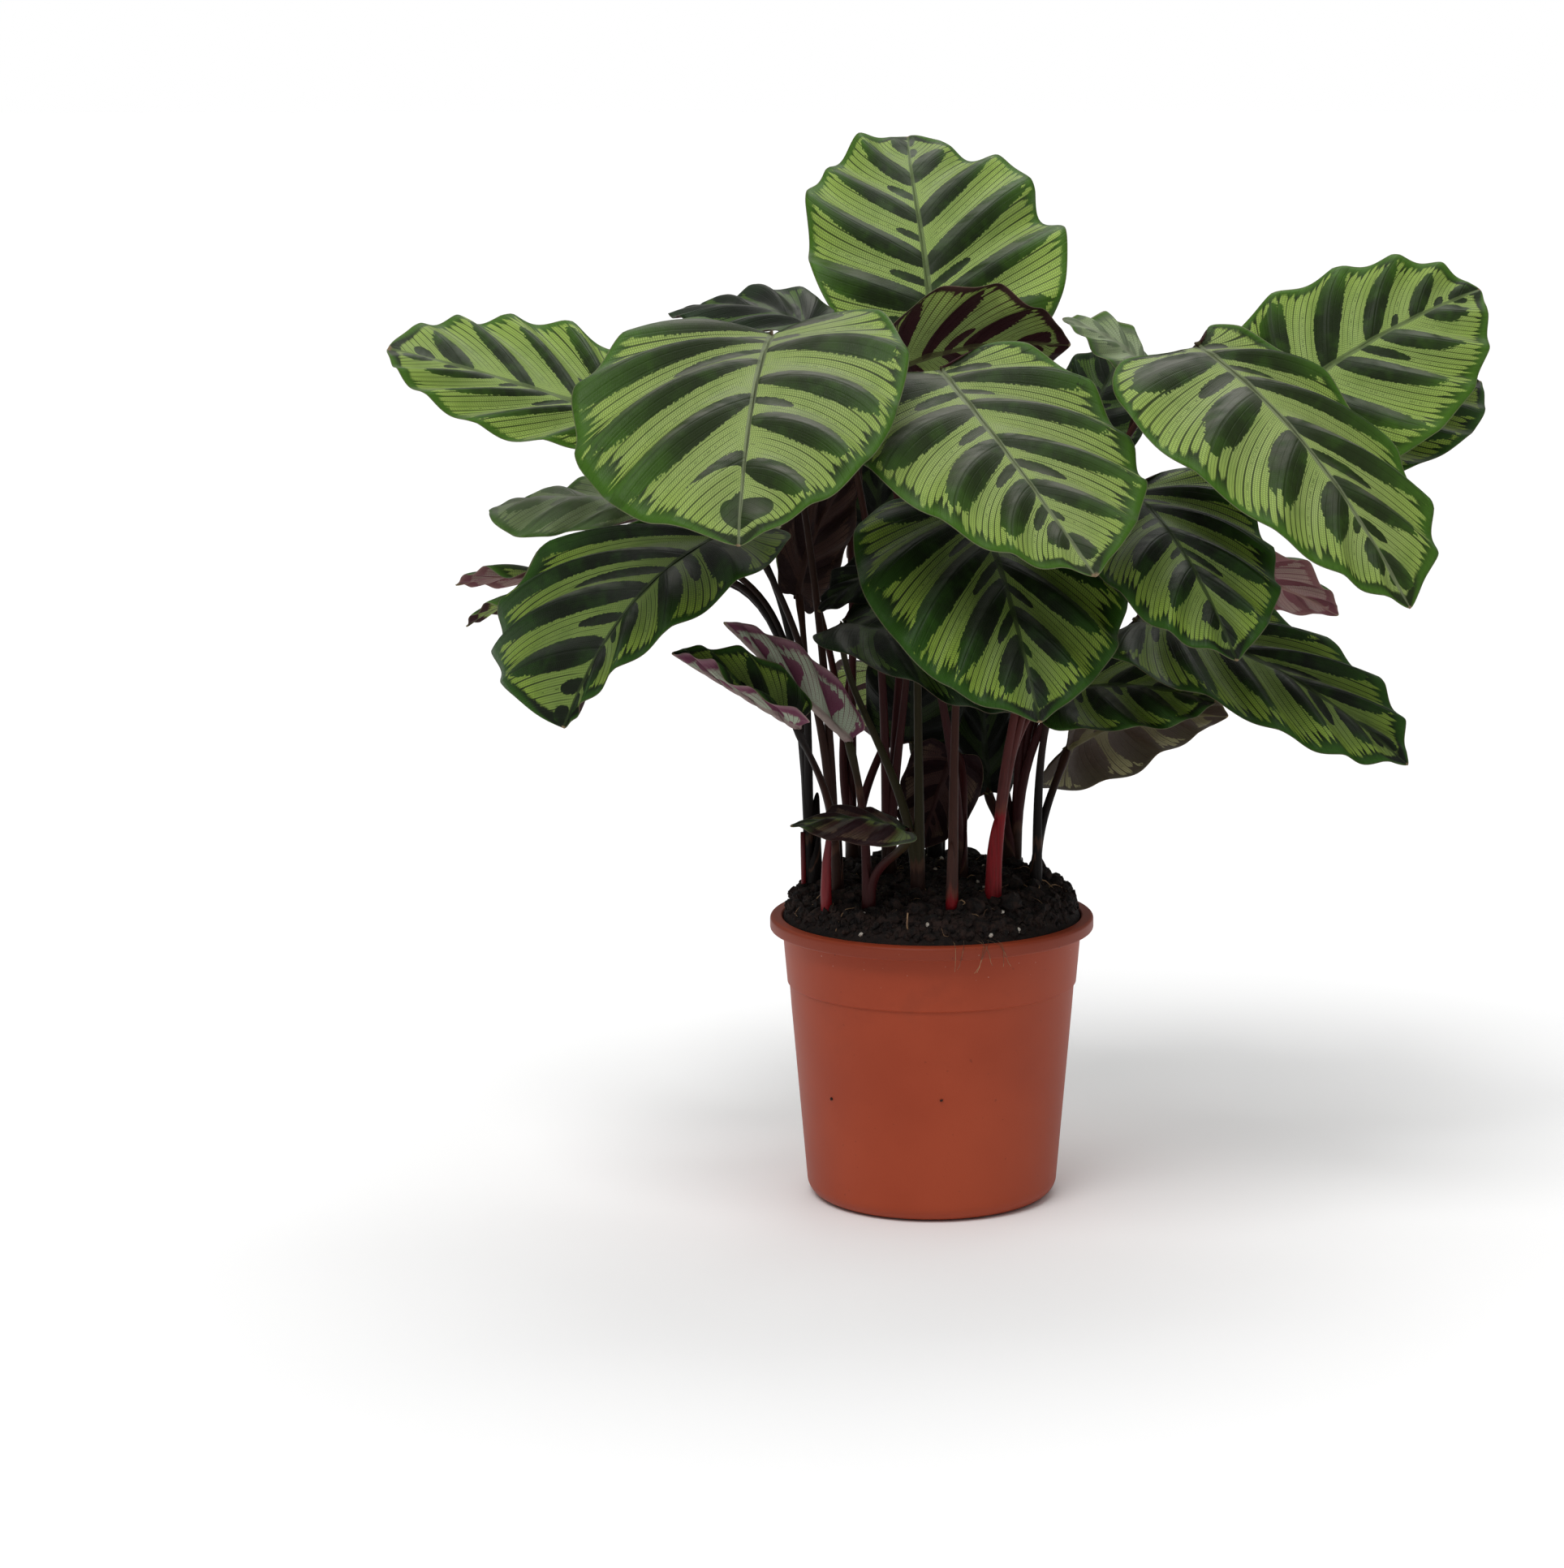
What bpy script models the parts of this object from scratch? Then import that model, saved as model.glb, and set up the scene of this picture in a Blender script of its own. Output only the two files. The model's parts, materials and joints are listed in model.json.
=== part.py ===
"""A potted peacock plant: wavy, patterned leaves on slim stalks, in soil, in a round nursery pot.

Run it with `blender --background --python part.py`. Blender's units are metres here and +Z is up. The
origin is on the pot's axis, on the surface that the pot stands on. -Y is the plant's front. The tables
of leaves, shoots and the pot's section are in millimetres, because that is how such things are measured.
"""

import math
from dataclasses import dataclass

import bmesh
import bpy
from mathutils import Matrix, Vector, noise
from mathutils.geometry import interpolate_bezier

MM = 0.001

# Pot: an injection-moulded nursery pot, sized by its rim.
RIM_RADIUS = 85.0
POT_HEIGHT = 150.0
SOIL_RADIUS = 78.6
RIM_HEIGHT = 7.0
WALL = 1.5
BODY_TOP_RADIUS = 77.6
BAND_FOOT_Z = 115.0  # the wall steps in by BAND_STEP below this height
BAND_STEP = 0.9
FOOT_RADIUS = 66.2
CORNER_RADIUS = 9.0
FLOOR = 2.0
GROOVE_INNER, GROOVE_OUTER, GROOVE_DEPTH = 41.0, 54.0, 2.5  # a ring-shaped channel in the underside
DRAIN_HOLES, DRAIN_RADIUS = 8, 4.0
ROUND_STEPS = 40  # sides of the pot and of the soil in it

# Soil: a mound that fills the pot and stands a little above its rim.
SOIL_EDGE_Z = 148.0
MOUND_HEIGHT = 20.0
MOUND_TILT = 4.0  # the mound's back is this much higher than its middle
SOIL_LUMP = 2.6
LUMP_SIZE = 11.0
SOIL_RINGS = (0.25, 0.5, 0.7, 0.85, 0.93, 0.97, 1.0)  # shares of the soil's radius
GAP = 0.3  # between pieces that touch
HOLE_CLEARANCE = 0.4  # around and under each shoot's base

# Blades.
BLADE_THICKNESS = 0.8
RIB_THICKNESS = 2.4
TIP_POINT = 0.03  # share of the length that the drawn-out tip adds

# Stalks and the shoots that they grow from.
STALK_SIDES = 5
STALK_FOOT_RADIUS, STALK_TOP_RADIUS, STALK_END_RADIUS = 3.0, 1.6, 0.8
SHEATH_SIDES = 10
SHEATH_DEPTH = 22.0  # below the soil's surface
SHEATH_RISE = 34.0  # above it
SHEATH_NARROWING = 2.0
STALK_STEPS = 7


@dataclass
class Leaf:
    """One leaf. Points are in millimetres, angles in degrees; left and right are seen from its base.

    base and tip are the ends of the blade's midrib, and face is roughly where its upper side looks.
    halves are the greatest widths of its left and right half. bow lifts the midrib's first and second
    third off the straight line and sway moves them to the right, as shares of that line. fold raises
    the two halves at the midrib, and droop curls them back down by their edge. A half with a low taper
    is wide near its tip, and a blade with a low point ends bluntly. wave is the height of the small
    waves along its edge, one to a vein, and swell gives each half's slow wave as (height, number, phase
    in turns). The stalk starts upright for the share rise of its length, swerve moves its lower and
    upper half sideways (x, y, x, y), and over lifts its upper half.
    """

    name: str
    shoot: str
    base: tuple
    tip: tuple
    face: tuple
    halves: tuple
    bow: tuple = (0.14, 0.12)
    sway: tuple = (0.0, 0.0)
    fold: tuple = (12, 12)
    droop: tuple = (30, 30)
    twist: float = 0.0
    taper: tuple = (0.18, 0.18)
    point: float = 1.1
    wave: float = 3.0
    swell: tuple = ((3, 1.5, 0.1), (3, 1.5, 0.6))
    rows: int = 12
    strips: int = 3
    phase: int = 0
    rise: float = 0.42
    swerve: tuple = (0, 0, 0, 0)
    over: float = 0.0


SMALL = {"rows": 9, "strips": 2, "wave": 2.2}

LEAVES = (
    # Around the front, from the left to the right.
    Leaf("left_far", "left", (-149, -5, 409), (-281, 15, 445), (-0.1, -0.45, 0.88), (42, 58),
         bow=(0.0, 0.03), fold=(13, 13), taper=(0.05, -0.2), point=0.9, rise=0.8),
    Leaf("left_edge_on", "left", (-135, 20, 358), (-235, 60, 356), (0, -0.1, 1), (33, 30),
         bow=(0.1, 0.12), droop=(80, 20), taper=(-0.3, 0.1), rise=0.9, **SMALL),
    Leaf("left_sliver", "left", (-176, 50, 313), (-254, 60, 316), (0, 0.28, 0.96), (22, 22),
         rise=1.2, over=30, **SMALL),
    Leaf("left_sliver_low", "left", (-178, 28, 309), (-246, 36, 297), (0, 0.1, 1), (18, 18),
         bow=(0.2, 0.2), rise=1.25, over=40, **SMALL),
    Leaf("inner_upright", "left", (-70, 6, 317), (-36, 32, 389), (-0.3, 0.75, 0.6), (24, 22), **SMALL),
    Leaf("front_left", "front_left", (-80, -40, 456), (-91, -190, 367), (-0.1, -0.5, 0.86), (75, 88),
         fold=(18, 20), droop=(42, 42), taper=(0.1, -0.12), point=1.0),
    Leaf("low_left", "front_left", (-97, -45, 359), (-182, -110, 267), (-0.45, -0.6, 0.65), (38, 78),
         bow=(0.2, 0.18), taper=(0.6, -0.9), point=0.8),
    Leaf("rolled_lower", "front_left", (-67, -82, 263), (-129, -94, 302), (0, -0.1, 1), (12, 24),
         fold=(55, 60), bow=(0, 0), **SMALL),
    Leaf("rolled_upper", "front_inner", (-42, -48, 250), (-104, -76, 315), (0.5, 0.75, 0.45), (19, 18),
         fold=(70, 60), droop=(-20, -20), bow=(0, 0), **SMALL),
    Leaf("basal_curl", "front_inner", (-12, -74, 208), (-71, -86, 213), (0, -0.1, 1), (20, 16),
         fold=(15, 15), droop=(110, 40), **SMALL),
    Leaf("under_centre", "front_centre", (-45, -40, 310), (44, -98, 272), (0, -0.4, 0.9), (30, 32),
         **SMALL),
    Leaf("front_centre", "front_centre", (4, -50, 439), (78, -170, 350), (0, -0.5, 0.86), (65, 66),
         bow=(0.08, 0.08), sway=(0.03, 0.03), taper=(0.0, 0.35)),
    Leaf("inner_left", "top", (-18, -8, 335), (-58, -31, 314), (0, -0.5, 0.85), (15, 14), **SMALL),
    Leaf("front_low", "front", (21, -50, 373), (52, -160, 278), (0.05, -0.75, 0.65), (66, 69),
         fold=(2, 12)),
    Leaf("inner_high", "back_left", (-30, 54, 335), (-26, 62, 388), (0, -0.9, 0.3), (16, 16),
         swerve=(-17, -11, -4, -4), **SMALL),
    Leaf("inner_maroon", "centre", (12, 24, 232), (-6, 12, 182), (0, 0.95, 0.3), (22, 21), **SMALL),
    Leaf("inner_green", "back", (-10, 34, 236), (-8, 50, 316), (0, -0.9, 0.3), (26, 27), **SMALL),
    Leaf("inner_right", "back_right", (30, 43, 207), (24, 56, 288), (0, -0.9, 0.3), (17, 17), **SMALL),
    Leaf("inner_side", "back_right", (76, 20, 394), (100, 40, 441), (0, -0.85, 0.5), (28, 28),
         rise=0.5, **SMALL),
    Leaf("front_right", "front_right", (133, -50, 451), (232, -135, 330), (0.1, -0.6, 0.8), (44, 62),
         taper=(-0.3, 0.45)),
    Leaf("right_curl", "front_right", (108, -20, 438), (66, -30, 463), (0.3, -0.6, 0.75), (15, 15), **SMALL),
    Leaf("mid_right", "front_right", (99, -45, 378), (148, -140, 305), (0.2, -0.75, 0.62), (50, 54),
         fold=(12, 20)),
    Leaf("low_right", "front_right", (105, -20, 308), (238, -90, 245), (0.25, -0.6, 0.75), (44, 44),
         rise=0.75),
    Leaf("under_right", "right", (64, -12, 269), (146, -35, 268), (0.1, -0.6, 0.8), (32, 34), **SMALL),
    Leaf("lowest_right", "right", (70, 12, 235), (159, 60, 245), (0, 0.75, 0.65), (50, 35), **SMALL),
    Leaf("right_purple", "back_right", (140, 10, 327), (216, 50, 301), (0.1, 0.7, 0.7), (28, 25),
         rise=0.6, **SMALL),
    Leaf("right_back", "back_right", (174, 25, 411), (290, 70, 472), (-0.1, -0.85, 0.5), (51, 63),
         rise=0.6),
    Leaf("right_back_low", "back_right", (207, 60, 392), (296, 105, 421), (0.1, -0.6, 0.8), (35, 45),
         rise=0.6, **SMALL),
    # In the middle and at the top.
    Leaf("top_upright", "top", (0, 55, 448), (-13, 170, 550), (0.1, -0.65, 0.76), (62, 77),
         sway=(0, -0.04), taper=(0.12, 0.12), point=1.0, swell=((5, 3.3, 0.445), (7, 3, 0.21))),
    Leaf("top_left", "top", (-62, 0, 458), (-136, 30, 461), (0, -0.2, 0.95), (38, 38), **SMALL),
    Leaf("back_purple", "centre", (-20, 0, 435), (72, 25, 446), (0, 0.8, 0.6), (42, 42), **SMALL),
    # Around the back.
    Leaf("back_left_high", "back_left", (-55, 70, 425), (-130, 190, 385), (-0.2, 0.4, 0.9), (52, 52),
         **SMALL),
    Leaf("back_left", "back_left", (-75, 75, 345), (-150, 175, 300), (-0.3, 0.5, 0.8), (45, 45), **SMALL),
    Leaf("back_low", "back_left", (-10, 55, 270), (-30, 160, 215), (0, 0.6, 0.8), (42, 42), **SMALL),
    Leaf("back_high", "back", (10, 75, 415), (35, 215, 370), (0, 0.4, 0.9), (58, 58), **SMALL),
    Leaf("back", "back", (0, 70, 335), (10, 190, 285), (0, 0.5, 0.8), (50, 50), **SMALL),
    Leaf("back_right_high", "back_right", (110, 75, 412), (165, 190, 362), (0.2, 0.4, 0.9), (50, 50),
         swerve=(-1.5, 2, 0, 0), **SMALL),
    Leaf("back_right", "back", (88, 82, 324), (160, 172, 288), (0.3, 0.5, 0.8), (42, 42), **SMALL),
    Leaf("back_right_low", "back", (38, 58, 256), (104, 134, 226), (0.3, 0.5, 0.8), (34, 34), **SMALL),
)

# Where each shoot leaves the soil: x and y, in millimetres.
SHOOTS = {
    "left": (-62, 4),
    "front_left": (-49, -26),
    "front_inner": (-32, -49),
    "front_centre": (-7, -34),
    "front": (10, -54),
    "front_right": (31, -40),
    "right": (54, -6),
    "centre": (16, 4),
    "top": (-22, 10),
    "back_right": (42, 32),
    "back_left": (-42, 40),
    "back": (2, 46),
}


def material(name, colour, roughness):
    """A plain Principled material; colour is linear RGB."""
    made = bpy.data.materials.new(name)
    made.use_nodes = True
    surface = made.node_tree.nodes["Principled BSDF"]
    surface.inputs["Base Color"].default_value = (*colour, 1)
    surface.inputs["Roughness"].default_value = roughness
    surface.inputs["Metallic"].default_value = 0.0
    made.diffuse_color = (*colour, 1)
    return made


def mesh_object(name, mesh, surface):
    """Links a mesh to the scene as one named object."""
    mesh.materials.append(surface)
    made = bpy.data.objects.new(name, mesh)
    bpy.context.scene.collection.objects.link(made)
    return made


def apply_modifiers(target):
    """Replaces the object's mesh with the evaluated one, and clears its modifiers."""
    bpy.context.view_layer.update()
    graph = bpy.context.evaluated_depsgraph_get()
    mesh = bpy.data.meshes.new_from_object(target.evaluated_get(graph))
    target.modifiers.clear()
    target.data = mesh


# ---------------------------------------------------------------- pot and soil


def pot_section():
    """The pot wall's closed section, as (radius, height) in millimetres, from the underside's middle."""
    slope = (BODY_TOP_RADIUS - FOOT_RADIUS) / (POT_HEIGHT - RIM_HEIGHT - CORNER_RADIUS)

    def wall(z):
        below = BAND_STEP if z < BAND_FOOT_Z else 0.0
        return FOOT_RADIUS + BAND_STEP + slope * (z - CORNER_RADIUS) - below

    outer = [(0, 0), (GROOVE_INNER - 1, 0), (GROOVE_INNER, GROOVE_DEPTH), (GROOVE_OUTER, GROOVE_DEPTH)]
    outer += [(GROOVE_OUTER + 1, 0)]
    for step in range(4):
        turn = math.radians(30 * step)
        outer.append(
            (
                FOOT_RADIUS - CORNER_RADIUS * (1 - math.sin(turn)),
                CORNER_RADIUS * (1 - math.cos(turn)),
            )
        )
    outer += [(wall(BAND_FOOT_Z - 0.1), BAND_FOOT_Z - 1), (wall(BAND_FOOT_Z), BAND_FOOT_Z)]
    rim_foot = POT_HEIGHT - RIM_HEIGHT
    outer += [(wall(rim_foot), rim_foot), (RIM_RADIUS - 1, rim_foot), (RIM_RADIUS, rim_foot + 1)]
    outer += [(RIM_RADIUS, POT_HEIGHT - 1.5), (RIM_RADIUS - 1.5, POT_HEIGHT)]
    inner = [(SOIL_RADIUS, POT_HEIGHT), (wall(rim_foot) - WALL, rim_foot - 2)]
    inner += [(FOOT_RADIUS - WALL, CORNER_RADIUS), (FOOT_RADIUS - CORNER_RADIUS + 3, FLOOR + 1)]
    inner += [(GROOVE_OUTER + 2, FLOOR), (GROOVE_OUTER, GROOVE_DEPTH + FLOOR)]
    inner += [(GROOVE_INNER, GROOVE_DEPTH + FLOOR), (GROOVE_INNER - 1, FLOOR), (0, FLOOR)]
    return outer + inner


def turned_mesh(name, section, steps):
    """A closed mesh that turns a section about Z; its first and last points are on the axis."""
    made = bmesh.new()
    rings = [[made.verts.new((0, 0, section[0][1] * MM))]]
    for radius, z in section[1:-1]:
        ring = []
        for step in range(steps):
            turn = 2 * math.pi * step / steps
            ring.append(made.verts.new((radius * MM * math.cos(turn), radius * MM * math.sin(turn), z * MM)))
        rings.append(ring)
    rings.append([made.verts.new((0, 0, section[-1][1] * MM))])
    for below, above in zip(rings, rings[1:]):
        for step in range(steps):
            after = (step + 1) % steps
            if len(below) == 1:
                made.faces.new((below[0], above[after], above[step]))
            elif len(above) == 1:
                made.faces.new((below[step], below[after], above[0]))
            else:
                made.faces.new((below[step], below[after], above[after], above[step]))
    bmesh.ops.recalc_face_normals(made, faces=made.faces)
    mesh = bpy.data.meshes.new(name)
    made.to_mesh(mesh)
    made.free()
    return mesh


def prism(name, x, y, radius, bottom, top, sides):
    """An upright prism, in millimetres, as a hidden object for cutting."""
    line = [Vector((x, y, bottom)), Vector((x, y, top))]
    cutter = bpy.data.objects.new(name, tube_mesh(name, line, [radius, radius], sides))
    cutter.hide_render = True
    cutter.display_type = "WIRE"
    return cutter


def cut_holes(target, cutters):
    """Cuts the prisms out of the target and removes them."""
    group = bpy.data.collections.new("cutters")
    bpy.context.scene.collection.children.link(group)
    for cutter in cutters:
        group.objects.link(cutter)
    cut = target.modifiers.new("holes", "BOOLEAN")
    cut.operation = "DIFFERENCE"
    cut.operand_type = "COLLECTION"
    cut.collection = group
    apply_modifiers(target)
    for cutter in cutters:
        bpy.data.objects.remove(cutter)
    bpy.data.collections.remove(group)


def build_pot(surface):
    mesh = turned_mesh("pot", pot_section(), ROUND_STEPS)
    pot = mesh_object("pot", mesh, surface)
    middle = (GROOVE_INNER + GROOVE_OUTER) / 2
    cutters = []
    for hole in range(DRAIN_HOLES):
        turn = 2 * math.pi * (hole + 0.5) / DRAIN_HOLES
        x, y = middle * math.cos(turn), middle * math.sin(turn)
        cutters.append(prism(f"drain_{hole}", x, y, DRAIN_RADIUS, -5, 12, 12))
    cut_holes(pot, cutters)
    pot.data.shade_smooth()
    pot.data.set_sharp_from_angle(angle=math.radians(30))
    return pot


def soil_height(x, y):
    """Height of the soil's surface at x, y, all in millimetres."""
    across = min(1.0, math.hypot(x, y) / SOIL_RADIUS)
    mound = (MOUND_HEIGHT + MOUND_TILT * y / SOIL_RADIUS) * (1 - across**20)
    lump = noise.noise(Vector((x, y, 3.7)) / LUMP_SIZE) * SOIL_LUMP * (1 - across**8)
    return SOIL_EDGE_Z + mound + lump


def sheath_radius(stalks):
    """A shoot's base is thicker the more stalks it holds."""
    return 4.2 + 0.75 * stalks


def soil_rings(made):
    """The soil's rings of vertices, from the middle of its top to the middle of its underside."""
    top = SOIL_RADIUS - 2 * GAP
    lower = (
        (BODY_TOP_RADIUS - WALL - 2 * GAP, POT_HEIGHT - RIM_HEIGHT - 4),
        (FOOT_RADIUS - WALL - GAP, CORNER_RADIUS + 1),
        (GROOVE_OUTER + 2, GROOVE_DEPTH + FLOOR + GAP),
        (GROOVE_INNER - 1 - GAP, GROOVE_DEPTH + FLOOR + GAP),
        (GROOVE_INNER - 3, FLOOR + GAP),
    )
    outline = [(top * share, None) for share in SOIL_RINGS] + list(lower)
    rings = [[made.verts.new((0, 0, soil_height(0, 0) * MM))]]
    for number, (radius, height) in enumerate(outline):
        ring = []
        for step in range(ROUND_STEPS):
            turn = 2 * math.pi * (step + 0.5 * min(number, len(SOIL_RINGS) - 1)) / ROUND_STEPS
            x, y = radius * math.cos(turn), radius * math.sin(turn)
            z = soil_height(x, y) if height is None else height
            ring.append(made.verts.new((x * MM, y * MM, z * MM)))
        rings.append(ring)
    return rings


def build_soil(surface, counts):
    """Soil down to the pot's floor, with a plain hole for each shoot."""
    made = bmesh.new()
    rings = soil_rings(made)
    for step in range(ROUND_STEPS):
        made.faces.new((rings[0][0], rings[1][step], rings[1][(step + 1) % ROUND_STEPS]))
    for number, (inner, outer) in enumerate(zip(rings[1:], rings[2:]), start=1):
        for step in range(ROUND_STEPS):
            after = (step + 1) % ROUND_STEPS
            if number < len(SOIL_RINGS):
                made.faces.new((inner[step], outer[step], inner[after]))
                made.faces.new((inner[after], outer[step], outer[after]))
            else:
                made.faces.new((inner[step], outer[step], outer[after], inner[after]))
    made.faces.new(rings[-1])
    bmesh.ops.recalc_face_normals(made, faces=made.faces)
    mesh = bpy.data.meshes.new("soil")
    made.to_mesh(mesh)
    made.free()
    soil = mesh_object("soil", mesh, surface)
    cutters = []
    for shoot, (x, y) in SHOOTS.items():
        radius = sheath_radius(counts[shoot]) + HOLE_CLEARANCE
        bottom = soil_height(x, y) - SHEATH_DEPTH - HOLE_CLEARANCE
        cutters.append(prism(f"hole_{shoot}", x, y, radius, bottom, POT_HEIGHT + 60, SHEATH_SIDES))
    cut_holes(soil, cutters)
    return soil


# ---------------------------------------------------------------- blades


class Midrib:
    """The blade's midrib in space, with a side and a normal at each point of it."""

    SAMPLES = 49

    def __init__(self, leaf):
        start, end, face = Vector(leaf.base), Vector(leaf.tip), Vector(leaf.face)
        chord = end - start
        lift = (face - face.project(chord)).normalized() * chord.length
        right = chord.cross(lift).normalized() * chord.length
        knee_1 = start + chord / 3 + lift * leaf.bow[0] + right * leaf.sway[0]
        knee_2 = start + chord * 2 / 3 + lift * leaf.bow[1] + right * leaf.sway[1]
        self.points = interpolate_bezier(start, knee_1, knee_2, end, self.SAMPLES)
        self.face = face
        self.twist = math.radians(leaf.twist)
        self.lengths = [0.0]
        for before, after in zip(self.points, self.points[1:]):
            self.lengths.append(self.lengths[-1] + (after - before).length)
        self.length = self.lengths[-1]

    def at(self, along):
        """(point, tangent, side, normal) at a length along the midrib; before 0 it runs straight on."""
        share = min(max(along / self.length, 0.0), 1.0)
        index = min(sum(1 for x in self.lengths if x <= share * self.length) - 1, self.SAMPLES - 2)
        index = max(index, 0)
        before, after = self.points[index], self.points[index + 1]
        step = (share * self.length - self.lengths[index]) / (self.lengths[index + 1] - self.lengths[index])
        point = before.lerp(after, step)
        ahead = self.points[min(index + 2, self.SAMPLES - 1)]
        behind = self.points[max(index - 1, 0)]
        tangent = (ahead - behind).normalized()
        point = point + tangent * min(along, 0.0)
        side = tangent.cross(self.face).normalized()
        side = Matrix.Rotation(self.twist * (share - 0.5), 3, tangent) @ side
        return point, tangent, side, side.cross(tangent)


def edge_point(leaf, around, length, half, taper):
    """A point of the flat blade's edge; around goes from 0 at the stalk to 1 at the tip."""
    angle = math.pi * (around + 0.5 * around * (1 - around) ** 2)
    notch = 0.10 * math.exp(-((angle / 0.30) ** 2))
    drawn_out = TIP_POINT * math.exp(-(((math.pi - angle) / 0.16) ** 2))
    along = (0.45 - 0.55 * math.cos(angle) + notch + drawn_out) / (1 + TIP_POINT)
    slimness = 0.70 + (leaf.point - 0.70) * angle / math.pi
    across = max(math.sin(angle), 0.0) ** slimness * (1 + taper * math.cos(angle))
    return along * length, across * half


def vein_point(leaf, around, out, length, which):
    """A point of the flat blade on the vein that ends at edge_point(around); out is 0 at the midrib."""
    start = length * around**1.7
    end_x, end_y = edge_point(leaf, around, length, leaf.halves[which], leaf.taper[which])
    knee_x, knee_y = start + 0.32 * (end_x - start), 0.62 * end_y
    x = (1 - out) ** 2 * start + 2 * out * (1 - out) * knee_x + out**2 * end_x
    y = 2 * out * (1 - out) * knee_y + out**2 * end_y
    return x, y


def blade_point(leaf, midrib, around, out, side):
    """A point of the blade in space; side is -1 on the left and 1 on the right."""
    which = 0 if side < 0 else 1
    half = leaf.halves[which]
    x, y = vein_point(leaf, around, out, midrib.length, which)
    point, _, across, normal = midrib.at(x)
    fold = math.radians(leaf.fold[which])
    bend = math.radians(leaf.droop[which]) / half * (0.4 + 1.2 * around)
    end = fold - bend * y
    if abs(bend) > 1e-9:
        sideways = (math.sin(fold) - math.sin(end)) / bend
        upwards = (math.cos(end) - math.cos(fold)) / bend
    else:
        sideways, upwards = y * math.cos(fold), y * math.sin(fold)
    surface_normal = normal * math.cos(end) - across * side * math.sin(end)
    ripple = math.cos(math.pi * (around * leaf.rows + leaf.phase + (side > 0)))
    height, number, phase = leaf.swell[which]
    slow = height * math.sin(2 * math.pi * (number * around + phase)) * out**2
    ends = max(math.sin(math.pi * around), 0.0) ** 0.6
    ruffle = (leaf.wave * ripple * out**1.6 + slow) * ends
    return point + across * side * sideways + normal * upwards + surface_normal * ruffle


def build_blade(leaf, surface):
    """The blade as one thin solid, thicker along its midrib, with its edge waved vein by vein."""
    midrib = Midrib(leaf)
    outs = [strip / leaf.strips for strip in range(leaf.strips + 1)]
    made = bmesh.new()
    deform = made.verts.layers.deform.verify()
    share = BLADE_THICKNESS / RIB_THICKNESS

    def vertex(point, at_rib):
        new = made.verts.new(point * MM)
        new[deform][0] = 1.0 if at_rib else share
        return new

    base = vertex(midrib.at(0)[0], True)
    tip = vertex(midrib.at(midrib.length)[0], False)
    rows = []
    for row in range(1, leaf.rows):
        around = row / leaf.rows
        left = [vertex(blade_point(leaf, midrib, around, out, -1), False) for out in reversed(outs[1:])]
        rib = vertex(blade_point(leaf, midrib, around, 0, 1), row < leaf.rows - 1)
        right = [vertex(blade_point(leaf, midrib, around, out, 1), False) for out in outs[1:]]
        rows.append(left + [rib] + right)
    for before, after in zip(rows[0], rows[0][1:]):
        made.faces.new((base, after, before))
    for lower, upper in zip(rows, rows[1:]):
        for column in range(2 * leaf.strips):
            a, b = lower[column], lower[column + 1]
            c, d = upper[column + 1], upper[column]
            made.faces.new((a, b, c))
            made.faces.new((a, c, d))
    for before, after in zip(rows[-1], rows[-1][1:]):
        made.faces.new((before, after, tip))
    name = f"leaf_{leaf.name}"
    mesh = bpy.data.meshes.new(name)
    made.to_mesh(mesh)
    made.free()
    blade = mesh_object(name, mesh, surface)
    blade.vertex_groups.new(name="thickness")
    solid = blade.modifiers.new("thickness", "SOLIDIFY")
    solid.thickness = RIB_THICKNESS * MM
    solid.offset = -1.0
    solid.vertex_group = "thickness"
    return blade


# ---------------------------------------------------------------- stalks and shoots


def stalk_line(leaf, stalks):
    """Centre line of the leaf's stalk, in millimetres, from inside the soil to just below the blade."""
    joint, tangent, _, normal = Midrib(leaf).at(0)
    x, y = SHOOTS[leaf.shoot]
    ring = sheath_radius(stalks) - STALK_FOOT_RADIUS - 0.5
    outward = Vector((joint.x - x, joint.y - y, 0)).normalized() * ring
    ground = soil_height(x, y)
    foot = Vector((x, y, ground - SHEATH_DEPTH + 4)) + outward
    leave = Vector((x, y, ground + 6)) + outward
    reach = (joint - leave).length
    arrive = ((joint - leave).normalized() + tangent * 0.8 + normal * 0.35).normalized()
    clear = GAP + 0.2 + RIB_THICKNESS / 2 * max(arrive.dot(normal), 0)
    end = joint - normal * (RIB_THICKNESS / 2) - arrive * clear
    low_x, low_y, high_x, high_y = leaf.swerve
    knee_1 = leave + Vector((low_x, low_y, reach * leaf.rise))
    knee_2 = end - arrive * reach * 0.28 + Vector((high_x, high_y, leaf.over))
    return [foot] + list(interpolate_bezier(leave, knee_1, knee_2, end, STALK_STEPS))


def tube_mesh(name, line, radii, sides):
    """A closed tube along a line of points, with flat ends."""
    made = bmesh.new()
    rings = []
    last_side = Vector((1, 0, 0))
    for index, (point, radius) in enumerate(zip(line, radii)):
        ahead = line[min(index + 1, len(line) - 1)]
        behind = line[max(index - 1, 0)]
        tangent = (ahead - behind).normalized()
        across = (last_side - last_side.project(tangent)).normalized()
        last_side = across
        over = tangent.cross(across)
        ring = []
        for step in range(sides):
            turn = 2 * math.pi * step / sides
            offset = across * math.cos(turn) + over * math.sin(turn)
            ring.append(made.verts.new((point + offset * radius) * MM))
        rings.append(ring)
    for lower, upper in zip(rings, rings[1:]):
        for step in range(sides):
            after = (step + 1) % sides
            made.faces.new((lower[step], lower[after], upper[after], upper[step]))
    made.faces.new(list(reversed(rings[0])))
    made.faces.new(rings[-1])
    mesh = bpy.data.meshes.new(name)
    made.to_mesh(mesh)
    made.free()
    return mesh


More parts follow.
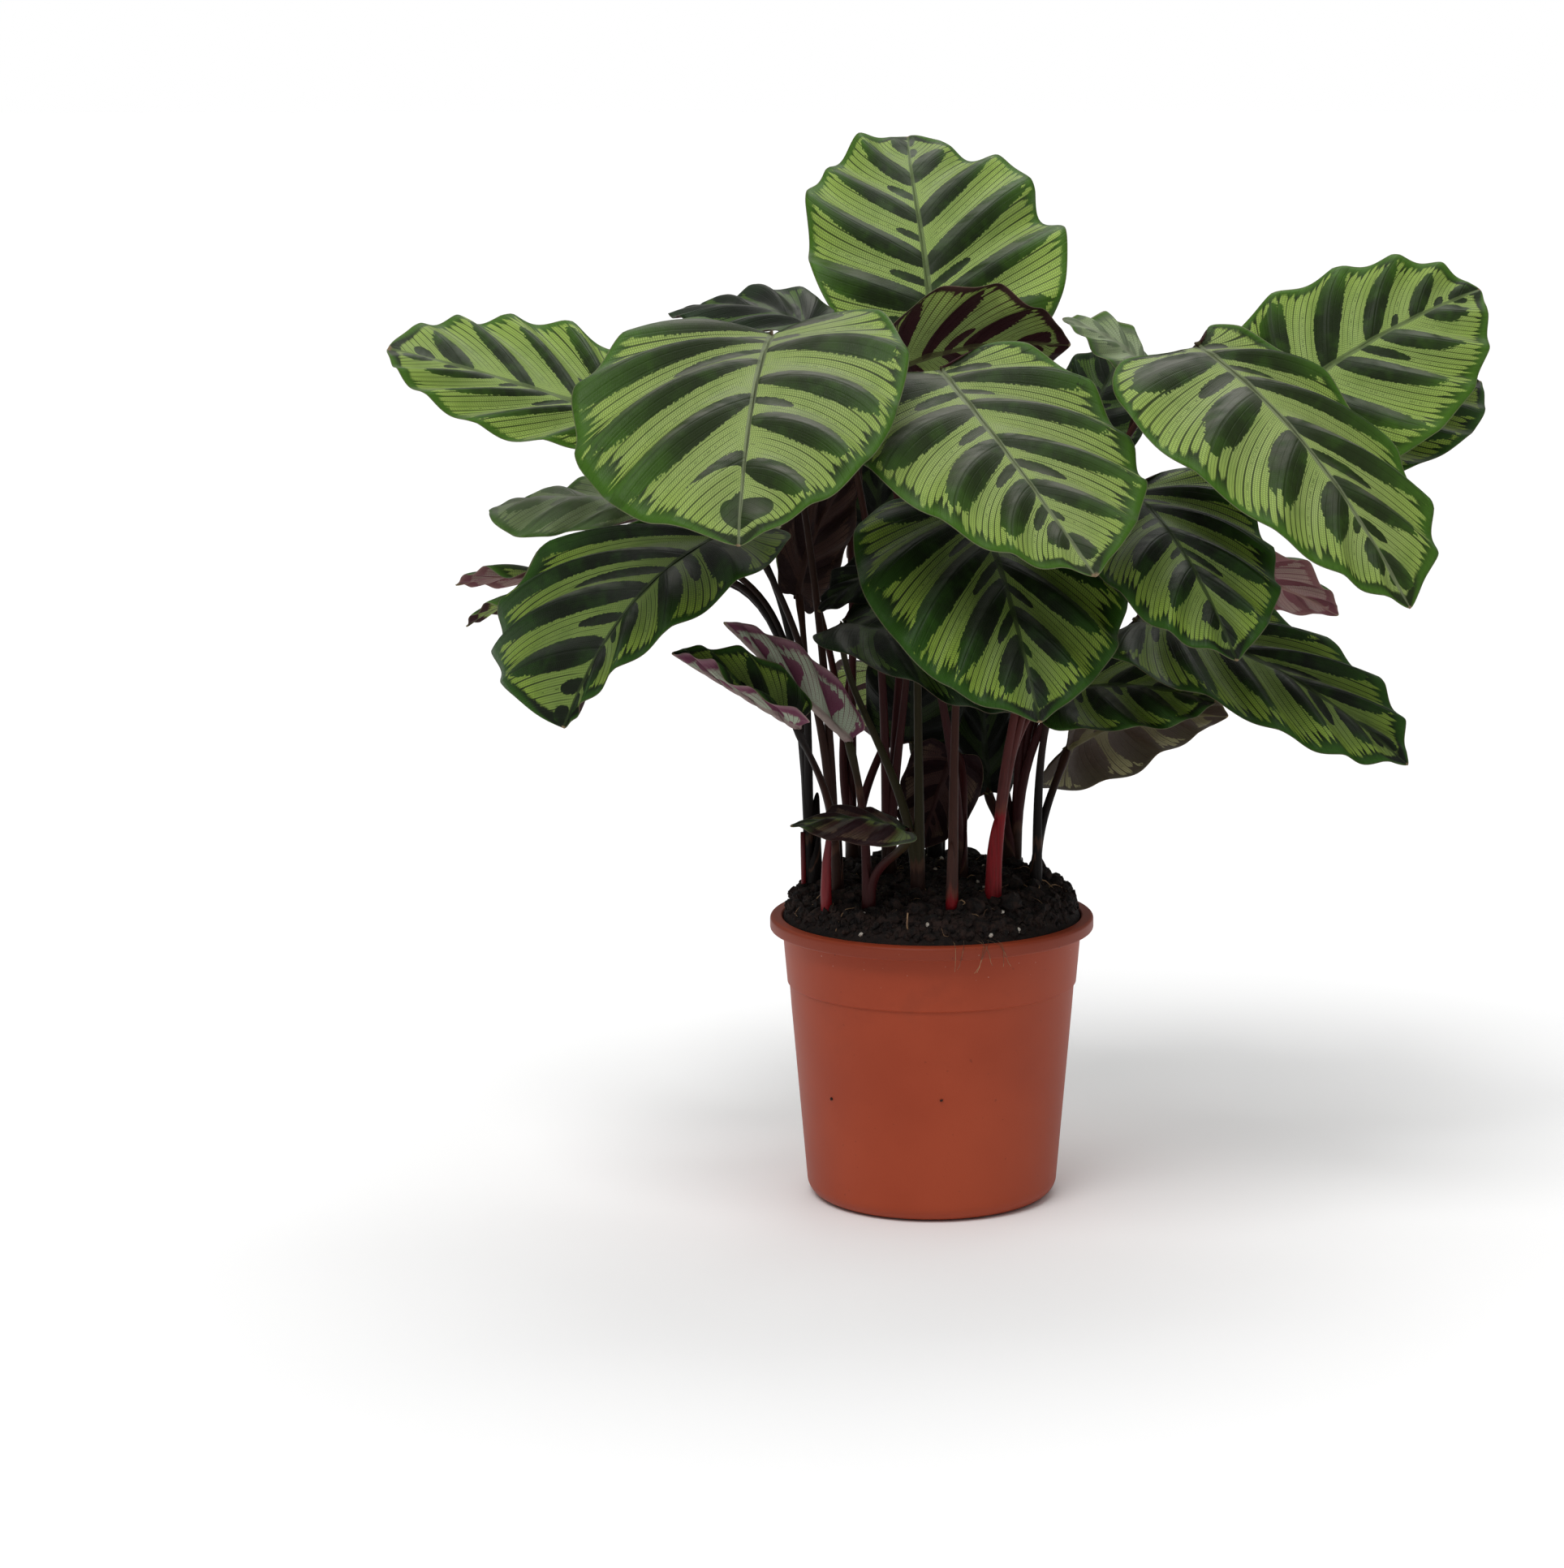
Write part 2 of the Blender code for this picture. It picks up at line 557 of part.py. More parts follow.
def stalk_radii(line):
    """Radii that narrow from the foot to the top, and to a point just below the blade."""
    total = sum((b - a).length for a, b in zip(line, line[1:]))
    gone, radii = 0.0, [STALK_FOOT_RADIUS]
    for before, after in zip(line, line[1:]):
        gone += (after - before).length
        share = gone / total
        radii.append(STALK_TOP_RADIUS + (STALK_FOOT_RADIUS - STALK_TOP_RADIUS) * (1 - share) ** 1.3)
    return radii[:-1] + [STALK_END_RADIUS]


def build_shoot(shoot, leaves, surface):
    """The shoot's sheathed base and the stalks that grow from it, joined into one solid."""
    x, y = SHOOTS[shoot]
    ground = soil_height(x, y)
    radius = sheath_radius(len(leaves))
    lift = Vector((0, 0, 1))
    foot = Vector((x, y, ground - SHEATH_DEPTH))
    line = [foot, foot + lift * (SHEATH_DEPTH + 8), foot + lift * (SHEATH_DEPTH + SHEATH_RISE)]
    name = f"shoot_{shoot}"
    mesh = tube_mesh(name, line, [radius, radius, radius - SHEATH_NARROWING], SHEATH_SIDES)
    base = mesh_object(name, mesh, surface)
    group = bpy.data.collections.new("stalks")
    bpy.context.scene.collection.children.link(group)
    for number, leaf in enumerate(leaves):
        line = stalk_line(leaf, len(leaves))
        mesh = tube_mesh("stalk", line, stalk_radii(line), STALK_SIDES)
        group.objects.link(bpy.data.objects.new(f"stalk_{number}", mesh))
    join = base.modifiers.new("stalks", "BOOLEAN")
    join.operation = "UNION"
    join.operand_type = "COLLECTION"
    join.collection = group
    apply_modifiers(base)
    for stalk in list(group.objects):
        bpy.data.objects.remove(stalk)
    bpy.data.collections.remove(group)
    return base


def main():
    for old in list(bpy.data.objects):
        bpy.data.objects.remove(old)
    clay_plastic = material("clay_plastic", (0.36, 0.06, 0.02), 0.45)
    potting_soil = material("potting_soil", (0.012, 0.008, 0.006), 0.95)
    leaf_green = material("leaf_green", (0.10, 0.20, 0.05), 0.45)
    stalk_brown = material("stalk_brown", (0.05, 0.02, 0.015), 0.5)
    build_pot(clay_plastic)
    grown = {shoot: [leaf for leaf in LEAVES if leaf.shoot == shoot] for shoot in SHOOTS}
    build_soil(potting_soil, {shoot: len(leaves) for shoot, leaves in grown.items()})
    for leaf in LEAVES:
        build_blade(leaf, leaf_green)
    for shoot, leaves in grown.items():
        build_shoot(shoot, leaves, stalk_brown)


main()
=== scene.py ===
"""Looks of a potted peacock plant: patterned wavy blades, sheathed stalks, crumbly soil, clay-coloured pot.

Tables of leaves and shoots are in millimetres, in the frame of the model that is loaded: the origin is
under the pot's middle, +Z is up and -Y is the plant's front.
"""

import json
import math
from dataclasses import dataclass

import bmesh
import bpy
import numpy as np
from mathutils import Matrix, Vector, noise
from mathutils.geometry import interpolate_bezier

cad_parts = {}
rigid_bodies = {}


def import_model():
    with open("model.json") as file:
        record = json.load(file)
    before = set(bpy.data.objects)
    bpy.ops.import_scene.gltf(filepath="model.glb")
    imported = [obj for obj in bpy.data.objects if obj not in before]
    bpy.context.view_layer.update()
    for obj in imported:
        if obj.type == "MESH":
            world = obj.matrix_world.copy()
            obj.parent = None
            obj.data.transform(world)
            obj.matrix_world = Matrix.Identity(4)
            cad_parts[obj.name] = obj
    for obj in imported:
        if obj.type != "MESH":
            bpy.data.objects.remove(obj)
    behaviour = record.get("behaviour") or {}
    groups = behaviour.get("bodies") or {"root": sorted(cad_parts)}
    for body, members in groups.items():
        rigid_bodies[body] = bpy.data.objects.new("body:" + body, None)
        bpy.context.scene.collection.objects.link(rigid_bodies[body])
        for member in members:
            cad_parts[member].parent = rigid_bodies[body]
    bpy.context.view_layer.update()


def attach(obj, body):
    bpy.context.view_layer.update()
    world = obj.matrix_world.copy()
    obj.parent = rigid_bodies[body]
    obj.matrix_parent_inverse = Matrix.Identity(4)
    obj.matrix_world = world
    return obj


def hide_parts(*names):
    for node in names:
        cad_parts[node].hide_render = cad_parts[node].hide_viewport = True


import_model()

MM = 0.001

# Pot and soil, as in the model.
RIM_RADIUS, RIM_HEIGHT, POT_HEIGHT = 85.0, 7.0, 150.0
SOIL_RADIUS = 78.6
WALL, FLOOR = 1.5, 2.0
BODY_TOP_RADIUS, FOOT_RADIUS, CORNER_RADIUS = 77.6, 66.2, 9.0
SLOPE = (BODY_TOP_RADIUS - FOOT_RADIUS) / (POT_HEIGHT - RIM_HEIGHT - CORNER_RADIUS)
BAND_FOOT_Z, BAND_STEP = 115.0, 0.9
GROOVE_INNER, GROOVE_OUTER, GROOVE_DEPTH = 41.0, 54.0, 2.5
DRAIN_HOLES, DRAIN_RADIUS = 8, 4.0
SOIL_EDGE_Z, MOUND_HEIGHT, MOUND_TILT = 148.0, 20.0, 4.0
SOIL_LUMP, LUMP_SIZE = 2.6, 11.0
GAP = 0.3

# Blades and stalks, as in the model.
RIB_THICKNESS = 2.4
TIP_POINT = 0.03
SHEATH_DEPTH = 22.0
STALK_FOOT_RADIUS = 3.0
SHOOT_RADIUS, SHOOT_GROWTH = 4.2, 0.75  # a shoot's own radius, and what each of its stalks adds

# The blades' relief and pattern.
BANDS = 0.46  # dark blotches of a half for each half wave of its edge
SCALLOP = 0.007  # how far the edge juts out at the end of each pleat, as a share of the half
PLEAT_DEPTH = 0.14  # height of the pleats that carry the blotches, as a share of the width of one
BLADE_SHEET, BLADE_EDGE = 0.5, 0.22  # thickness in the middle of a half and at its edge
STRIPS = 9  # fine vein strips for each blotch and its light field
BLOTCH_END = 0.5  # how bluntly the blotches end towards the edge
GREEN_EDGE = 4.0  # least width of the green margin
SEE_THROUGH = 0.22  # share of a blade's light that comes from behind it

# Fineness of the surfaces.
ROWS_PER_WAVE = 9  # rows of a blade for each half wave of its edge
OUTS = np.concatenate([[0.0, 0.012, 0.028, 0.055], np.linspace(0.1, 1.0, 15)])
STALK_SIDES, STALK_STEPS = 14, 26
SHEATH_LEVELS, SHEATH_SIDES, SHEATH_WALL = 9, 28, 0.5
POT_STEPS = 144
SOIL_STEPS, SOIL_RINGS = 200, 72

# Loose things on the soil, as count, least and greatest size, fineness and the ring they lie in.
CRUMBS = (
    (900, 0.6, 1.4, 1, 0.00, 0.96),
    (520, 1.2, 3.0, 2, 0.00, 0.95),
    (150, 2.6, 4.6, 2, 0.30, 0.92),
    (700, 0.7, 1.9, 1, 0.84, 0.97),
    (420, 1.3, 2.9, 2, 0.86, 0.955),
)
SPLASHES = ((4, 67.1), (-47, 62.0))  # crumbs that stick to the pot, as degrees from the front and height
SPLASH_OUT = 0.3  # how far the middle of such a crumb is off the pot's wall
WHITE_BITS = ((42, -16, 2.8), (30, -69, 1.5), (-2, -70, 1.2), (44, -60, 1.4), (-36, -66, 1.1), (8, -72, 1.0))
MORE_WHITE_BITS = 46
STRAWS, STRAW_STEPS = 60, 6
RIM_ROOTS, RIM_ROOT_RADIUS = 7, 0.11

# Stage.
SKY_LOW, SKY_TOP, WALL_SEEN = 0.16, 0.68, 1.0
SUNS = {"key": ((-0.4, -0.8, 1.5), 1.6, 30), "top": ((0.2, 0.9, 1.5), 0.8, 40)}
FLOOR_RADIUS, FLOOR_DROP, FLOOR_COLOUR = 40.0, 0.0002, (0.92, 0.92, 0.92, 1.0)
CAMERA_PLACE, CAMERA_AIM = (0.0, -2.07, 0.595), (0.0, 0.0, 0.219)
SENSOR_WIDTH, LENS, SHIFT = 36.0, 92.37, -0.0955


@dataclass
class Leaf:
    """One leaf: its shape as in the model, then how it is coloured.

    rise is how high its stalk goes before it bends, swerve moves the two knees of the stalk's curve in x
    and y, and over lifts the second one. blotch is the length of the dark blotches on its left and right
    half, as a share of the way to the edge, and then their half widths, as a share of the way from one to
    the next. waist is how much they narrow towards the midrib. Veins with a high lean start nearer the
    base, one value for each half. field is where the light field ends. upper and under name the palettes
    of its two faces, blush is how much of the lower one shows in the middle of the upper one, cap is the
    length of a blotch across the midrib's end, as a share of the midrib, and dry is the size of its dry tip.
    """

    name: str
    shoot: str
    base: tuple
    tip: tuple
    face: tuple
    halves: tuple
    bow: tuple = (0.14, 0.12)
    sway: tuple = (0.0, 0.0)
    fold: tuple = (12, 12)
    droop: tuple = (30, 30)
    taper: tuple = (0.18, 0.18)
    point: float = 1.1
    wave: float = 3.0
    swell: tuple = ((3, 1.5, 0.1), (3, 1.5, 0.6))
    rows: int = 12
    phase: int = 0
    rise: float = 0.42
    swerve: tuple = (0.0, 0.0, 0.0, 0.0)
    over: float = 0.0
    blotch: tuple = (0.90, 0.90, 0.26, 0.26)
    waist: float = 0.30
    lean: tuple = (2.2, 2.2)
    field: float = 0.93
    upper: str = "green"
    under: str = "maroon"
    blush: float = 0.0
    cap: float = 0.0
    dry: float = 1.6


SMALL = {"rows": 9, "wave": 2.2}
DIM = {"blotch": (0.95, 0.95, 0.34, 0.34)} | SMALL

LEAVES = (
    # Around the front, from the left to the right.
    Leaf("left_far", "left", (-149, -5, 409), (-281, 15, 445), (-0.1, -0.45, 0.88), (42, 58),
         bow=(0.0, 0.03), fold=(13, 13), taper=(0.05, -0.2), point=0.9, rise=0.8,
         upper="fresh", blotch=(0.90, 0.86, 0.21, 0.20), field=1.0, dry=2.5, lean=(2.7, 3.0)),
    Leaf("left_edge_on", "left", (-135, 20, 358), (-235, 60, 356), (0, -0.1, 1), (33, 30),
         bow=(0.1, 0.12), droop=(80, 20), taper=(-0.3, 0.1), rise=0.9, upper="painted_sheen_grey", **SMALL),
    Leaf("left_sliver", "left", (-176, 50, 313), (-254, 60, 316), (0, 0.28, 0.96), (22, 22),
         rise=1.2, over=30, under="pink", dry=4.0, **SMALL),
    Leaf("left_sliver_low", "left", (-178, 28, 309), (-246, 36, 297), (0, 0.1, 1), (18, 18),
         bow=(0.2, 0.2), rise=1.25, over=40, **SMALL),
    Leaf("inner_upright", "left", (-70, 6, 317), (-36, 32, 389), (-0.3, 0.75, 0.6), (24, 22),
         under="brown", **SMALL),
    Leaf("front_left", "front_left", (-80, -40, 456), (-91, -190, 367), (-0.1, -0.5, 0.86), (75, 88),
         fold=(18, 20), droop=(42, 42), taper=(0.1, -0.12), point=1.0,
         blotch=(0.84, 1.02, 0.27, 0.27), waist=0.45, lean=(1.6, 2.9), cap=0.05),
    Leaf("low_left", "front_left", (-97, -45, 359), (-182, -110, 267), (-0.45, -0.6, 0.65), (38, 78),
         bow=(0.2, 0.18), taper=(0.6, -0.9), point=0.8, upper="painted_shade_green",
         blotch=(0.95, 1.0, 0.28, 0.26), lean=(1.7, 2.9)),
    Leaf("rolled_lower", "front_left", (-67, -82, 263), (-129, -94, 302), (0, -0.1, 1), (12, 24),
         fold=(55, 60), bow=(0, 0), upper="painted_shade_green", under="pale", **SMALL),
    Leaf("rolled_upper", "front_inner", (-42, -48, 250), (-104, -76, 315), (0.5, 0.75, 0.45), (19, 18),
         fold=(70, 60), droop=(-20, -20), bow=(0, 0), upper="painted_shade_green", under="pale",
         blotch=(0.66, 0.66, 0.33, 0.33), waist=1.8, **SMALL),
    Leaf("basal_curl", "front_inner", (-12, -74, 208), (-71, -86, 213), (0, -0.1, 1), (20, 16),
         fold=(15, 15), droop=(110, 40), upper="painted_shade_green", under="plum", blush=1.0, **SMALL),
    Leaf("under_centre", "front_centre", (-45, -40, 310), (44, -98, 272), (0, -0.4, 0.9), (30, 32),
         upper="dark", **DIM),
    Leaf("front_centre", "front_centre", (4, -50, 439), (78, -170, 350), (0, -0.5, 0.86), (65, 66),
         bow=(0.08, 0.08), sway=(0.03, 0.03), taper=(0.0, 0.35),
         blotch=(0.95, 0.80, 0.24, 0.30), dry=3.0, lean=(2.4, 1.7)),
    Leaf("inner_left", "top", (-18, -8, 335), (-58, -31, 314), (0, -0.5, 0.85), (15, 14),
         upper="shade", **SMALL),
    Leaf("front_low", "front", (21, -50, 373), (52, -160, 278), (0.05, -0.75, 0.65), (66, 69),
         fold=(2, 12), upper="painted_shade_green", blotch=(0.88, 0.86, 0.28, 0.29), waist=0.35, lean=(2.7, 2.7)),
    Leaf("inner_high", "back_left", (-30, 54, 335), (-26, 62, 388), (0, -0.9, 0.3), (16, 16),
         swerve=(-17, -11, -4, -4), upper="shade", **DIM),
    Leaf("inner_maroon", "centre", (12, 24, 232), (-6, 12, 182), (0, 0.95, 0.3), (22, 21),
         under="plum", **SMALL),
    Leaf("inner_green", "back", (-10, 34, 236), (-8, 50, 316), (0, -0.9, 0.3), (26, 27),
         upper="shade", **DIM),
    Leaf("inner_right", "back_right", (30, 43, 207), (24, 56, 288), (0, -0.9, 0.3), (17, 17),
         upper="shade", **DIM),
    Leaf("inner_side", "back_right", (76, 20, 394), (100, 40, 441), (0, -0.85, 0.5), (28, 28),
         rise=0.5, upper="dark", **DIM),
    Leaf("front_right", "front_right", (133, -50, 451), (232, -135, 330), (0.1, -0.6, 0.8), (44, 62),
         taper=(-0.3, 0.45), blotch=(1.0, 0.72, 0.25, 0.28), lean=(2.6, 1.7)),
    Leaf("right_curl", "front_right", (108, -20, 438), (66, -30, 463), (0.3, -0.6, 0.75), (15, 15),
         upper="painted_sheen_grey", blotch=(0.6, 0.6, 0.2, 0.2), dry=0.5, **SMALL),
    Leaf("mid_right", "front_right", (99, -45, 378), (148, -140, 305), (0.2, -0.75, 0.62), (50, 54),
         fold=(12, 20), upper="painted_shade_green", blotch=(0.90, 0.72, 0.27, 0.30), waist=0.25, lean=(2.8, 2.1)),
    Leaf("low_right", "front_right", (105, -20, 308), (238, -90, 245), (0.25, -0.6, 0.75), (44, 44),
         rise=0.75, upper="painted_shade_green", blotch=(0.92, 0.88, 0.25, 0.26), lean=(2.8, 2.4)),
    Leaf("under_right", "right", (64, -12, 269), (146, -35, 268), (0.1, -0.6, 0.8), (32, 34),
         upper="painted_shade_green", blotch=(0.95, 0.95, 0.31, 0.31), **SMALL),
    Leaf("lowest_right", "right", (70, 12, 235), (159, 60, 245), (0, 0.75, 0.65), (50, 35),
         under="olive", blotch=(1.06, 1.06, 0.40, 0.40), **SMALL),
    Leaf("right_purple", "back_right", (140, 10, 327), (216, 50, 301), (0.1, 0.7, 0.7), (28, 25),
         rise=0.6, under="pink", **SMALL),
    Leaf("right_back", "back_right", (174, 25, 411), (290, 70, 472), (-0.1, -0.85, 0.5), (51, 63),
         rise=0.6, upper="fresh", blotch=(0.86, 0.80, 0.26, 0.27), lean=(2.0, 2.3)),
    Leaf("right_back_low", "back_right", (207, 60, 392), (296, 105, 421), (0.1, -0.6, 0.8), (35, 45),
         rise=0.6, upper="painted_shade_green", **SMALL),
    # In the middle and at the top.
    Leaf("top_upright", "top", (0, 55, 448), (-13, 170, 550), (0.1, -0.65, 0.76), (62, 77),
         sway=(0, -0.04), taper=(0.12, 0.12), point=1.0, swell=((5, 3.3, 0.445), (7, 3, 0.21)),
         upper="fresh", blotch=(1.06, 1.06, 0.27, 0.28), waist=0.22, field=1.0, lean=(2.0, 2.8)),
    Leaf("top_left", "top", (-62, 0, 458), (-136, 30, 461), (0, -0.2, 0.95), (38, 38),
         upper="dark", blotch=(1.0, 1.0, 0.36, 0.36), lean=(2.8, 2.8), **SMALL),
    Leaf("back_purple", "centre", (-20, 0, 435), (72, 25, 446), (0, 0.8, 0.6), (42, 42),
         blotch=(0.80, 0.84, 0.24, 0.25), field=0.98, lean=(2.6, 2.6), **SMALL),
    # Around the back.
    Leaf("back_left_high", "back_left", (-55, 70, 425), (-130, 190, 385), (-0.2, 0.4, 0.9), (52, 52),
         **SMALL),
    Leaf("back_left", "back_left", (-75, 75, 345), (-150, 175, 300), (-0.3, 0.5, 0.8), (45, 45), **SMALL),
    Leaf("back_low", "back_left", (-10, 55, 270), (-30, 160, 215), (0, 0.6, 0.8), (42, 42), **SMALL),
    Leaf("back_high", "back", (10, 75, 415), (35, 215, 370), (0, 0.4, 0.9), (58, 58), **SMALL),
    Leaf("back", "back", (0, 70, 335), (10, 190, 285), (0, 0.5, 0.8), (50, 50), **SMALL),
    Leaf("back_right_high", "back_right", (110, 75, 412), (165, 190, 362), (0.2, 0.4, 0.9), (50, 50),
         swerve=(-1.5, 2, 0, 0), **SMALL),
    Leaf("back_right", "back", (88, 82, 324), (160, 172, 288), (0.3, 0.5, 0.8), (42, 42), **SMALL),
    Leaf("back_right_low", "back", (38, 58, 256), (104, 134, 226), (0.3, 0.5, 0.8), (34, 34), **SMALL),
)

# Where each shoot leaves the soil, as x and y, the colours of its foot, middle and top, and the height
# above the soil at which the foot's colour ends.
SHOOTS = {
    "left": ((-62, 4), "black", "black", "brown", 20),
    "front_left": ((-49, -26), "brown", "brown", "black", 25),
    "front_inner": ((-32, -49), "wine", "wine", "moss", 60),
    "front_centre": ((-7, -34), "brown", "moss", "moss", 15),
    "front": ((10, -54), "red", "umber", "brown", 6),
    "front_right": ((31, -40), "red", "rust", "brown", 46),
    "right": ((54, -6), "black", "black", "brown", 20),
    "centre": ((16, 4), "brown", "wine", "wine", 20),
    "top": ((-22, 10), "brown", "wine", "moss", 20),
    "back_right": ((42, 32), "brown", "wine", "brown", 20),
    "back_left": ((-42, 40), "brown", "wine", "moss", 20),
    "back": ((2, 46), "black", "wine", "moss", 20),
}


def tone(red, green, blue):
    """A colour given as it looks on screen, 0 to 255, as linear RGBA."""

    def linear(value):
        value /= 255
        return value / 12.92 if value <= 0.04045 else ((value + 0.055) / 1.055) ** 2.4

    return (linear(red), linear(green), linear(blue), 1.0)


BARK = {
    "black": (16, 11, 10),
    "brown": (44, 24, 17),
    "moss": (40, 36, 16),
    "wine": (52, 16, 17),
    "rust": (80, 38, 36),
    "umber": (62, 37, 31),
    "red": (118, 20, 26),
}

# Each palette: light field inside and near the edge, blotch, margin, vein lines, midrib, painted sheen, edge.
PALETTES = {
    "green": (
        (164, 184, 106), (168, 194, 94), (38, 52, 20), (72, 112, 32),
        (80, 102, 46), (120, 130, 96), (96, 98, 84), (140, 138, 108),
    ),
    "fresh": (
        (166, 190, 104), (172, 200, 94), (32, 46, 16), (76, 118, 30),
        (82, 108, 44), (104, 122, 74), (92, 102, 82), (140, 140, 104),
    ),
    # green with painted shade, for the lower leaves that lie in shade
    "painted_shade_green": (
        (124, 146, 72), (148, 176, 68), (17, 26, 10), (48, 86, 22),
        (60, 82, 34), (46, 60, 30), (66, 72, 60), (124, 118, 92),
    ),
    # green with deeper painted shade, for leaves under and behind others
    "dark": (
        (74, 98, 46), (90, 120, 48), (20, 28, 14), (30, 54, 20),
        (42, 62, 28), (42, 54, 30), (50, 54, 44), (100, 92, 78),
    ),
    # green with the deepest painted shade, for the inner leaves
    "shade": (
        (42, 56, 26), (54, 76, 30), (12, 15, 9), (17, 25, 12),
        (24, 34, 17), (30, 38, 22), (22, 25, 19), (70, 62, 52),
    ),
    # grey-green for the sheen of leaves seen edge-on, painted lighter against the shade they lie in: painted
    # sheen and painted light
    "painted_sheen_grey": (
        (178, 192, 154), (166, 188, 130), (128, 142, 112), (96, 134, 62),
        (132, 150, 108), (150, 160, 132), (164, 164, 152), (170, 164, 140),
    ),
    "maroon": (
        (160, 182, 104), (168, 192, 98), (54, 18, 24), (54, 30, 24),
        (80, 98, 46), (84, 80, 50), (66, 28, 34), (120, 100, 84),
    ),
    "plum": (
        (74, 48, 44), (110, 92, 72), (36, 12, 17), (42, 22, 20),
        (50, 28, 28), (60, 34, 32), (46, 20, 24), (90, 68, 58),
    ),
    "brown": (
        (64, 40, 34), (82, 58, 46), (40, 20, 20), (50, 32, 26),
        (48, 28, 26), (60, 38, 32), (48, 26, 26), (90, 70, 58),
    ),
    "olive": (
        (86, 80, 46), (140, 136, 94), (48, 33, 20), (54, 46, 22),
        (62, 54, 30), (84, 78, 46), (58, 42, 28), (140, 120, 92),
    ),
    "pale": (
        (170, 180, 158), (176, 184, 160), (112, 60, 82), (148, 108, 120),
        (134, 142, 124), (150, 130, 126), (124, 78, 94), (170, 150, 140),
    ),
    "pink": (
        (158, 132, 126), (164, 140, 130), (118, 68, 76), (130, 90, 88),
        (124, 82, 84), (140, 106, 98), (124, 78, 82), (160, 134, 124),
    ),
}


# ---------------------------------------------------------------- shader words


class Wire:
    """A socket of a finish, on which arithmetic adds Math nodes."""

    def __init__(self, finish, socket):
        self.finish = finish
        self.socket = socket

    def __rsub__(self, other):
        return math_word("SUBTRACT")(other, self)

    def ramp(self, low, high):
        """0 below low, 1 above high and smooth between; it falls where high is the lower one."""
        inputs = {"Value": self, "From Min": low, "From Max": high}
        return self.finish.node("ShaderNodeMapRange", {"interpolation_type": "SMOOTHSTEP"}, inputs)


def math_word(operation):
    """A function that adds the Math node of an operation for its values, of which one is a Wire."""

    def word(*values):
        finish = next(value.finish for value in values if isinstance(value, Wire))
        return finish.node("ShaderNodeMath", {"operation": operation}, dict(enumerate(values)))

    return word


WIRE_WORDS = {
    "__add__": "ADD",
    "__radd__": "ADD",
    "__sub__": "SUBTRACT",
    "__mul__": "MULTIPLY",
    "__rmul__": "MULTIPLY",
    "__truediv__": "DIVIDE",
    "__pow__": "POWER",
    "__gt__": "GREATER_THAN",
    "size": "ABSOLUTE",
    "floor": "FLOOR",
    "fraction": "FRACT",
    "most": "MAXIMUM",
    "least": "MINIMUM",
    "root": "SQRT",
}
for wire_word, math_operation in WIRE_WORDS.items():
    setattr(Wire, wire_word, math_word(math_operation))


class Finish:
    """A material in the making."""

    def __init__(self, name, roughness=0.5, specular=0.5):
        self.material = bpy.data.materials.new(name)
        self.material.use_nodes = True
        self.tree = self.material.node_tree
        self.surface = self.tree.nodes["Principled BSDF"]
        self.surface.inputs["Roughness"].default_value = roughness
        self.surface.inputs["Specular IOR Level"].default_value = specular

    def node(self, kind, settings=None, inputs=None, output=0):
        """Adds a node: its settings first, then the values or links of its sockets."""
        made = self.tree.nodes.new(kind)
        for name, value in (settings or {}).items():
            setattr(made, name, value)
        for key, value in (inputs or {}).items():
            self.put(made.inputs[key], value)
        return Wire(self, made.outputs[output])

    def put(self, socket, value):
        """Links or sets a socket; a colour is given as it looks on screen, from 0 to 255."""
        if isinstance(value, Wire):
            self.tree.links.new(value.socket, socket)
        else:
            socket.default_value = tone(*value) if socket.type == "RGBA" else value

    def coat(self, colour, *coats):
        """A colour under coats of other ones, each given as its share and its colour."""
        for share, other in coats:
            inputs = {0: share, 6: colour, 7: other}
            colour = self.node("ShaderNodeMix", {"data_type": "RGBA"}, inputs, 2)
        return colour

    def vector(self, x, y, z):
        return self.node("ShaderNodeCombineXYZ", None, {0: x, 1: y, 2: z})

    def apart(self, vector):
        """The x, y and z of a vector."""
        split = self.node("ShaderNodeSeparateXYZ", None, {0: vector})
        return [Wire(self, socket) for socket in split.socket.node.outputs]

    def measure(self, name):
        """The three numbers that the mesh carries at each point under a name."""
        return self.apart(self.node("ShaderNodeAttribute", {"attribute_name": name}, None, 1))

    def chance(self, x, y, z):
        """A number from 0 to 1 that is fixed for each x, y and z."""
        return self.node("ShaderNodeTexWhiteNoise", None, {0: self.vector(x, y, z)})

    def grain(self, place, scale, detail=3.0, rough=0.55):
        """Smooth noise, 0 to 1."""
        inputs = {"Vector": place, "Scale": scale, "Detail": detail, "Roughness": rough}
        return self.node("ShaderNodeTexNoise", None, inputs)

    def object_place(self):
        return self.node("ShaderNodeTexCoord", None, None, 3)

    def relief(self, height, depth):
        """Raises the surface's shading by height, 0 to 1, times depth in metres."""
        bump = self.node("ShaderNodeBump", None, {"Distance": depth, "Height": height})
        self.put(self.surface.inputs["Normal"], bump)

    def paint(self, colour, roughness=None):
        self.put(self.surface.inputs["Base Color"], colour)
        if roughness is not None:
            self.put(self.surface.inputs["Roughness"], roughness)


# ---------------------------------------------------------------- finishes


